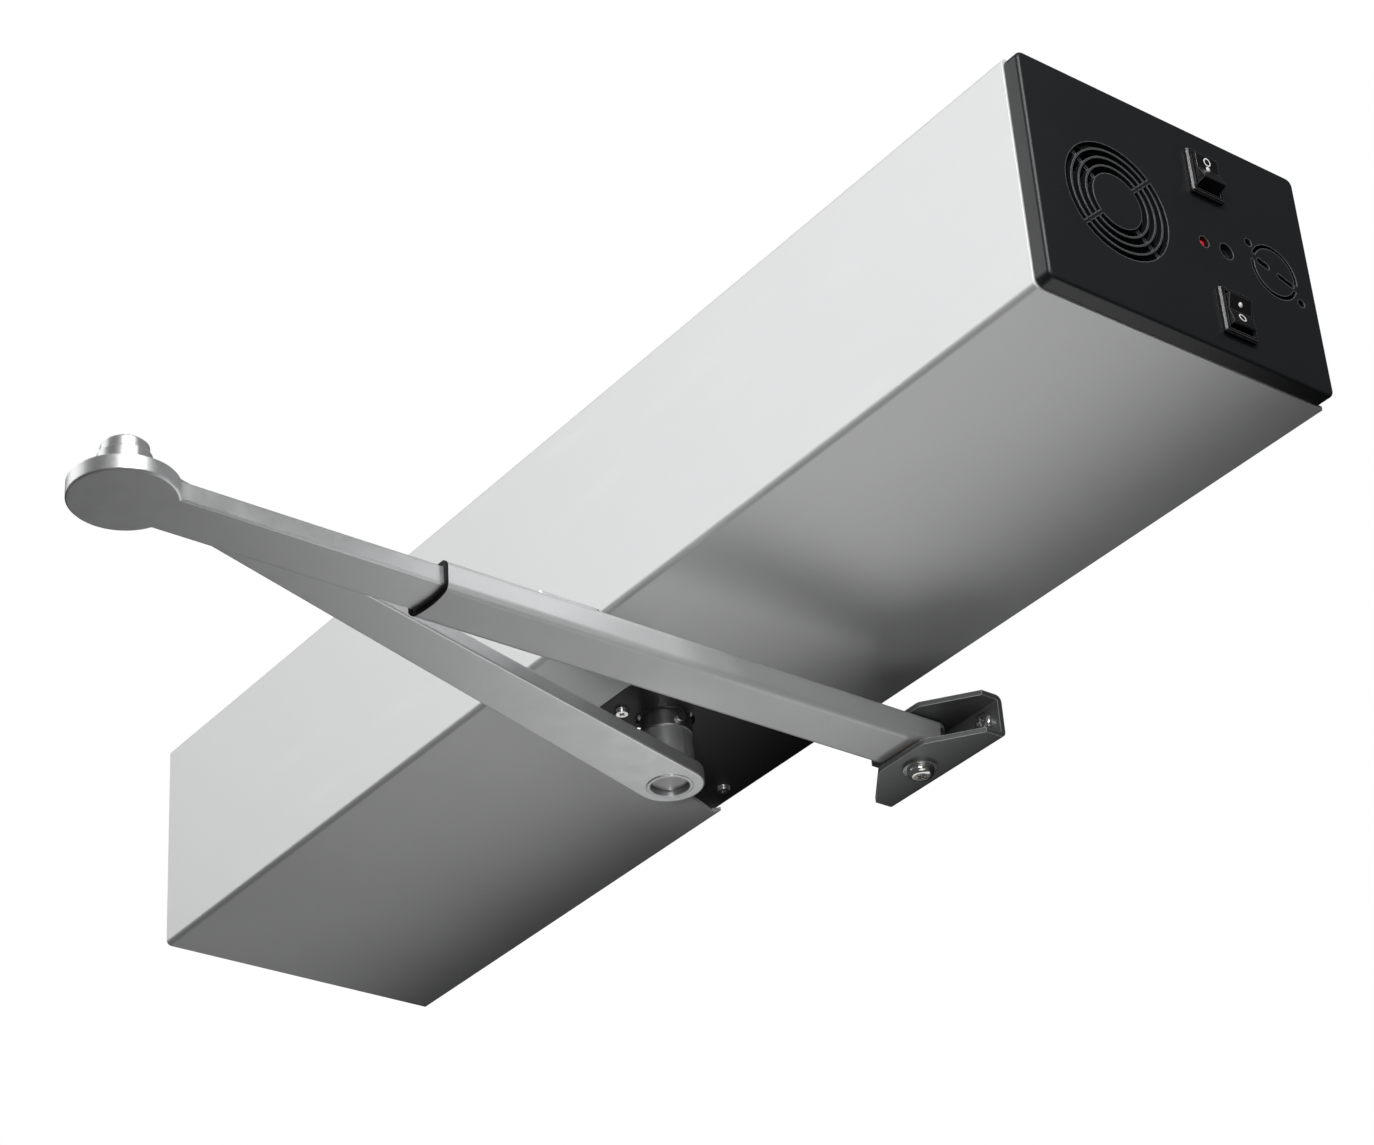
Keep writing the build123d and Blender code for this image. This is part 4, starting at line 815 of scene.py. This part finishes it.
    def facet(self, across: np.ndarray, up: np.ndarray, lift: np.ndarray, centre: tuple[float, float],
              ridge: float, tilt: float) -> np.ndarray:
        """Places points on a rocker's two facets, which rise from a valley to a ridge at each end.

        Args:
            across: distances along Y from the rocker's middle.
            up: distances from the pivot along the rocker.
            lift: share of the print's thickness above the facet.
            centre: Y and Z of the rocker's middle.
            ridge: how far the ridges stand out.
            tilt: tilt in degrees.

        Returns:
            Array of points.
        """
        angle = math.radians(tilt)
        out = ridge - 0.0014 + 0.0014 * np.abs(up) / self.rocker_half + lift * self.mark_lift
        across, up, out = np.broadcast_arrays(across, up, out)
        x = self.pivot_x + out * math.cos(angle) - up * math.sin(angle)
        z = centre[1] + out * math.sin(angle) + up * math.cos(angle)
        return np.stack([x, centre[0] + across, z], axis=-1)


@dataclass
class Drive:
    """Motor, gearhead and gearbox inside the body."""

    frame: dict[str, Any]

    def build(self) -> None:
        """Dresses the drive's pieces."""
        dress(self.frame, PALETTE.casting, "gearbox_base", "gearbox_lid", "gearhead", "motor_end_bell")
        dress(self.frame, PALETTE.zinc, "lid_screws", "gearhead_screws")
        dress(self.frame, PALETTE.steel_z, "lower_bearing", "upper_bearing", "output_gear",
              "output_spindle", "pinion")
        dress(self.frame, PALETTE.steel_x, "motor_can", "motor_rotor")
        dress(self.frame, PALETTE.magnet, "motor_magnets")
        dress(self.frame, PALETTE.fan, "encoder_disc", "encoder_sensor")
        dress(self.frame, PALETTE.board, "encoder_board")


@dataclass
class Electronics:
    """Control board with its parts, and the power supply."""

    frame: dict[str, Any]
    poles: int = 12
    part_size: Point = (0.0021, 0.0009, 0.0012)
    part_pitch: tuple[float, float] = (0.0042, 0.0032)
    chip_depth: float = 0.0016

    def build(self) -> None:
        """Dresses the electronics and adds the small parts, terminal screws and capacitor tops."""
        dress(self.frame, PALETTE.board, "main_board")
        dress(self.frame, PALETTE.bronze, "board_standoffs")
        dress(self.frame, PALETTE.relay, "relays")
        dress(self.frame, PALETTE.sleeve, "capacitors")
        dress(self.frame, PALETTE.terminal, "terminal_blocks")
        dress(self.frame, PALETTE.casting, "heat_sink")
        dress(self.frame, PALETTE.psu, "power_supply")
        self.chips()
        self.terminal_screws()
        self.capacitor_tops()

    def chips(self) -> None:
        """Chips and small parts soldered to the front of the control board, in blocks of rows."""
        low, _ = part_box("main_board")
        x, z = self.rows((0.012, 0.040), (0.006, 0.030))
        right_x, right_z = self.rows((0.074, 0.106), (0.024, 0.048))
        small_x, small_z = np.append(x, right_x), np.append(z, right_z)
        face = np.full(small_x.size, low[1])
        small = np.stack([low[0] + small_x, face, low[2] + small_z], axis=-1)
        taller = 1.0 + 0.35 * (np.arange(len(small)) % 3 == 0)
        parts = Surface.blocks(small, np.tile(self.part_size, (len(small), 1)) * taller[:, None], 0.2)
        chips = np.array([(0.056, 0.024, 0.012, 0.012), (0.056, 0.040, 0.006, 0.005),
                          (0.044, 0.040, 0.005, 0.006), (0.115, 0.056, 0.006, 0.005)])
        flat = np.full(len(chips), 1.0)
        back = np.stack([low[0] + chips[:, 0], flat * low[1], low[2] + chips[:, 1]], axis=-1)
        sizes = np.stack([chips[:, 2], flat * self.chip_depth, chips[:, 3]], axis=-1)
        parts = parts + Surface.blocks(back, sizes, 0.1)
        parts.piece("board_parts", PALETTE.chip, "body", "relay_body", smooth=False)

    def rows(self, across: tuple[float, float], up: tuple[float, float]) -> tuple[np.ndarray, np.ndarray]:
        """Places in rows over a patch of the board, at the pitch of the small parts.

        Args:
            across: the patch's two ends along X from the board's left edge.
            up: its two ends along Z from the board's bottom edge.

        Returns:
            X and Z of each place.
        """
        return np.meshgrid(np.arange(*across, self.part_pitch[0]), np.arange(*up, self.part_pitch[1]),
                           indexing="ij")

    def terminal_screws(self) -> None:
        """Round heads in a row on the terminal blocks, one to each pole."""
        low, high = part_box("terminal_blocks")
        profile = np.array([(0.0, -0.45), (1.25, -0.45), (1.6, -0.25), (1.6, 0.3), (0.0, 0.3)]) * MM
        pitch = (high[0] - low[0]) / self.poles
        height = (low[2] + high[2]) / 2.0
        heads = [Surface.turned(profile, (low[0] + pitch * (number + 0.5), low[1], height), Axis.Y, 20)
                 for number in range(self.poles)]
        made = heads[0]
        for head in heads[1:]:
            made = made + head
        made.piece("terminal_screws", PALETTE.zinc, "body", "zinc")

    def capacitor_tops(self) -> None:
        """Bare domed tops of the capacitors, with the rolled edge of the can round them."""
        low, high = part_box("capacitors")
        radius = (high[2] - low[2]) / 2.0
        profile = np.array([(0.0, -0.25 * MM), (0.62 * radius, -0.2 * MM), (0.82 * radius, -0.05 * MM),
                            (0.86 * radius, -0.4 * MM), (0.94 * radius, -0.4 * MM), (0.98 * radius, 0.2 * MM),
                            (0.0, 0.2 * MM)])
        spots = (low[0] + radius, (low[0] + high[0]) / 2.0, high[0] - radius)
        tops = [Surface.turned(profile, (x, low[1], (low[2] + high[2]) / 2.0), Axis.Y, 40) for x in spots]
        (tops[0] + tops[1] + tops[2]).piece("capacitor_tops", PALETTE.psu, "body", "psu_cage")


@dataclass
class PushArm:
    """Spindle collar, main arm, forearm, channel and shoe."""

    frame: dict[str, Any]
    channel_sheet: float = 0.0016
    channel_round: float = 0.0026
    slot_half: float = 0.0052
    mouth_hollow: float = 0.0435
    hollow_depth: float = 0.0015
    strip_share: float = 0.96
    strip_proud: float = 0.00015
    strip_back: float = 0.0003
    strip_front: float = 0.0003

    def build(self) -> None:
        """Dresses the arm's pieces and adds a near-black strip round the channel's mouth, painted shade for
        the gap there.
        """
        dress(self.frame, PALETTE.collar, "arm_bolt", "spindle_collar")
        dress(self.frame, PALETTE.zinc, "collar_set_screws", "clamp_screws", "shoe_bolt",
              "shoe_bolt_washer", "shoe_nut", "shoe_screws")
        dress(self.frame, PALETTE.arm, "main_arm", "forearm", "elbow_bolt")
        dress(self.frame, PALETTE.bronze, "elbow_bush", "elbow_spacer", "pivot_washer", "pivot_sleeve")
        dress(self.frame, PALETTE.steel_z, "clamp_plate")
        dress(self.frame, PALETTE.channel, "channel")
        dress(self.frame, PALETTE.shoe, "shoe")
        self.mouth_lip()

    def mouth_lip(self) -> None:
        """Near-black strip on the cut edge of the channel's mouth: painted shade standing in for the shadow
        gap between the channel and the forearm.

        It follows the channel's section, the rounded rectangle x = sgn(cos t)(a - r) + r cos t,
        z = sgn(sin t)(b - r) + r sin t, from one side of the top slot round the floor to the other. On the
        floor the mouth is hollowed by y = sqrt(R^2 - x^2) - (R - depth), never below nought.
        """
        low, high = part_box("channel")
        half_x, half_z = (high[0] - low[0]) / 2.0, (high[2] - low[2]) / 2.0
        middle_x, middle_z = (low[0] + high[0]) / 2.0, (low[2] + high[2]) / 2.0
        turn = np.radians(np.concatenate([np.linspace(q + 4.0, q + 86.0, 8) for q in (90, 180, 270, 360)]))
        normal = np.stack([np.cos(turn), np.sin(turn)], axis=-1)
        corner = np.array([half_x - self.channel_round, half_z - self.channel_round])
        path = np.sign(normal) * corner + self.channel_round * normal
        path = np.vstack([[-self.slot_half, half_z], path, [self.slot_half, half_z]])
        normal = np.vstack([[0.0, 1.0], normal, [0.0, 1.0]])
        reach = np.concatenate([[0.0], np.cumsum(np.linalg.norm(np.diff(path, axis=0), axis=1))])
        steps = np.union1d(np.linspace(0.0, reach[-1], 140), reach)
        path = np.stack([np.interp(steps, reach, path[:, k]) for k in (0, 1)], axis=-1)
        normal = np.stack([np.interp(steps, reach, normal[:, k]) for k in (0, 1)], axis=-1)
        hollow = np.sqrt(self.mouth_hollow**2 - path[:, 0] ** 2) - (self.mouth_hollow - self.hollow_depth)
        edge = low[1] + np.where(path[:, 1] < self.channel_round - half_z, np.maximum(hollow, 0.0), 0.0)
        inner = -self.channel_sheet * self.strip_share
        out = np.array([self.strip_proud, self.strip_proud, inner, inner])
        along = np.array([-self.strip_front, self.strip_back, self.strip_back, -self.strip_front])
        section = path[:, None, :] + normal[:, None, :] * out[None, :, None]
        points = np.stack([middle_x + section[..., 0], edge[:, None] + along[None, :],
                           middle_z + section[..., 1]], axis=-1)
        ends = [points[k : k + 1].mean(axis=1, keepdims=True).repeat(4, axis=1) for k in (0, len(points) - 1)]
        # The strip is near-black to paint the shade of the gap at the channel's mouth.
        strip = Surface.grid(np.concatenate([ends[0], points, ends[1]]), wrap_v=True)
        strip.piece("mouth_lip", PALETTE.mouth_shade, "channel", "cap_plastic", smooth=False)


# ------------------------------------------------------------------ studio


@dataclass
class Studio:
    """Camera, lights and floor round the operator, which hangs as if on a wall above head height."""

    camera_at: Point = (0.8294, -0.73055, -0.6395)
    camera_right: Point = (0.60022, 0.79729, -0.06370)
    camera_up: Point = (0.45087, -0.27149, 0.85030)
    lens: float = 87.14
    floor_height: float = -1.7
    flag_depth: float = 0.03
    surround: float = 0.07
    # name, place, side and power in watts of each soft light
    boxes: tuple[tuple[str, Point, float, float], ...] = (
        ("key_box", (-1.75, -1.75, 1.5), 2.2, 27.0),
        ("side_box", (1.6, -0.4, 1.0), 0.5, 13.5),
        ("elbow_box", (0.7, -0.6, 0.0), 0.3, 2.1),
        ("elbow_fill", (0.9, -0.9, 0.2), 0.3, 0.6),
        ("low_box", (-0.6, 1.2, -1.1), 1.8, 9.6),
        ("hub_box", (0.2, -0.095, -0.26), 0.16, 0.08),
        ("rim_box", (0.9, -0.68, 0.62), 0.12, 3.0),
    )

    def build(self) -> None:
        """Sets up the whole studio."""
        self.camera()
        for name, place, size, power in self.boxes:
            self.softbox(name, place, size, power)
        self.accent("hub_accent", (0.25, -0.3, -0.25), (-0.003, -0.06, -0.058), 9.0, 1.8)
        self.world()
        self.floor()
        self.flag()

    def camera(self) -> None:
        """Makes the camera from its right and up directions."""
        right, up = Vector(self.camera_right), Vector(self.camera_up)
        back = right.cross(up).normalized()
        turn = Matrix((right, up, back)).transposed().to_4x4()
        data = bpy.data.cameras.new("camera")
        data.lens = self.lens
        data.sensor_width = 36.0
        made = bpy.data.objects.new("camera", data)
        made.matrix_world = Matrix.Translation(self.camera_at) @ turn
        bpy.context.scene.collection.objects.link(made)
        bpy.context.scene.camera = made

    def softbox(self, name: str, place: Point, size: float, power: float) -> None:
        """Makes a square soft light that faces the operator.

        Args:
            name: its name.
            place: where it stands.
            size: the length of its sides.
            power: its power in watts.
        """
        data = bpy.data.lights.new(name, "AREA")
        data.shape = "SQUARE"
        data.size = size
        data.energy = power
        made = bpy.data.objects.new(name, data)
        made.location = place
        aim = Vector((0.0, -0.12, -0.03)) - Vector(place)
        made.rotation_euler = aim.to_track_quat("-Z", "Y").to_euler()
        made.visible_camera = False
        bpy.context.scene.collection.objects.link(made)

    def accent(self, name: str, place: Point, target: Point, spread: float, power: float) -> None:
        """Makes a narrow soft-edged light that picks out one detail.

        Args:
            name: its name.
            place: where it stands.
            target: what it points at.
            spread: its full angle in degrees.
            power: its power in watts.
        """
        data = bpy.data.lights.new(name, "SPOT")
        data.spot_size = math.radians(spread)
        data.spot_blend = 0.8
        data.shadow_soft_size = 0.012
        data.energy = power
        made = bpy.data.objects.new(name, data)
        made.location = place
        made.rotation_euler = (Vector(target) - Vector(place)).to_track_quat("-Z", "Y").to_euler()
        made.visible_camera = False
        bpy.context.scene.collection.objects.link(made)

    def world(self) -> None:
        """Lights the scene from a plain white surround."""
        world = bpy.data.worlds.new("studio")
        world.use_nodes = True
        bpy.context.scene.world = world
        tree = world.node_tree
        surround = tree.nodes["Background"]
        surround.inputs["Color"].default_value = (1.0, 1.0, 1.0, 1.0)
        surround.inputs["Strength"].default_value = self.surround
        backdrop = tree.nodes.new("ShaderNodeBackground")
        backdrop.inputs["Color"].default_value = (1.0, 1.0, 1.0, 1.0)
        seen = tree.nodes.new("ShaderNodeLightPath")
        mix = tree.nodes.new("ShaderNodeMixShader")
        tree.links.new(seen.outputs["Is Camera Ray"], mix.inputs[0])
        tree.links.new(surround.outputs[0], mix.inputs[1])
        tree.links.new(backdrop.outputs[0], mix.inputs[2])
        tree.links.new(mix.outputs[0], tree.nodes["World Output"].inputs["Surface"])
        bpy.context.scene.view_settings.view_transform = "Standard"

    def floor(self) -> None:
        """Lays a pale floor: a flat grid a good way below the camera."""
        side = np.linspace(-6.0, 6.0, 9)
        x, y = np.meshgrid(side, side, indexing="ij")
        points = np.stack([x, y, np.full_like(x, self.floor_height)], axis=-1)
        surface = Surface.grid(points)
        mesh = bpy.data.meshes.new("floor")
        mesh.from_pydata(surface.points.tolist(), [], surface.faces.tolist())
        mesh.materials.append(PALETTE.floor.material())
        made = bpy.data.objects.new("floor", mesh)
        made.visible_diffuse = False
        made.visible_glossy = False
        bpy.context.scene.collection.objects.link(made)

    def flag(self) -> None:
        """Hangs a narrow dark flag behind and below the body, out of the camera's sight."""
        x, z = np.meshgrid(np.linspace(-0.5, 0.5, 5), np.linspace(-0.125, -0.048, 3), indexing="ij")
        surface = Surface.grid(np.stack([x, np.full_like(x, self.flag_depth), z], axis=-1))
        mesh = bpy.data.meshes.new("flag")
        mesh.from_pydata(surface.points.tolist(), [], surface.faces.tolist())
        mesh.materials.append(PALETTE.flag.material())
        made = bpy.data.objects.new("flag", mesh)
        made.visible_camera = False
        bpy.context.scene.collection.objects.link(made)


def main() -> None:
    """Builds the operator's looks in order and logs each part as it is done."""
    logging.basicConfig(level=logging.INFO, format="%(name)s: %(message)s")
    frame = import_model()
    Studio().build()
    for part in (Casing, SwitchCap, Drive, Electronics, PushArm):
        part(frame).build()
        LOG.info("%s done", part.__name__)


if __name__ == "__main__":
    main()
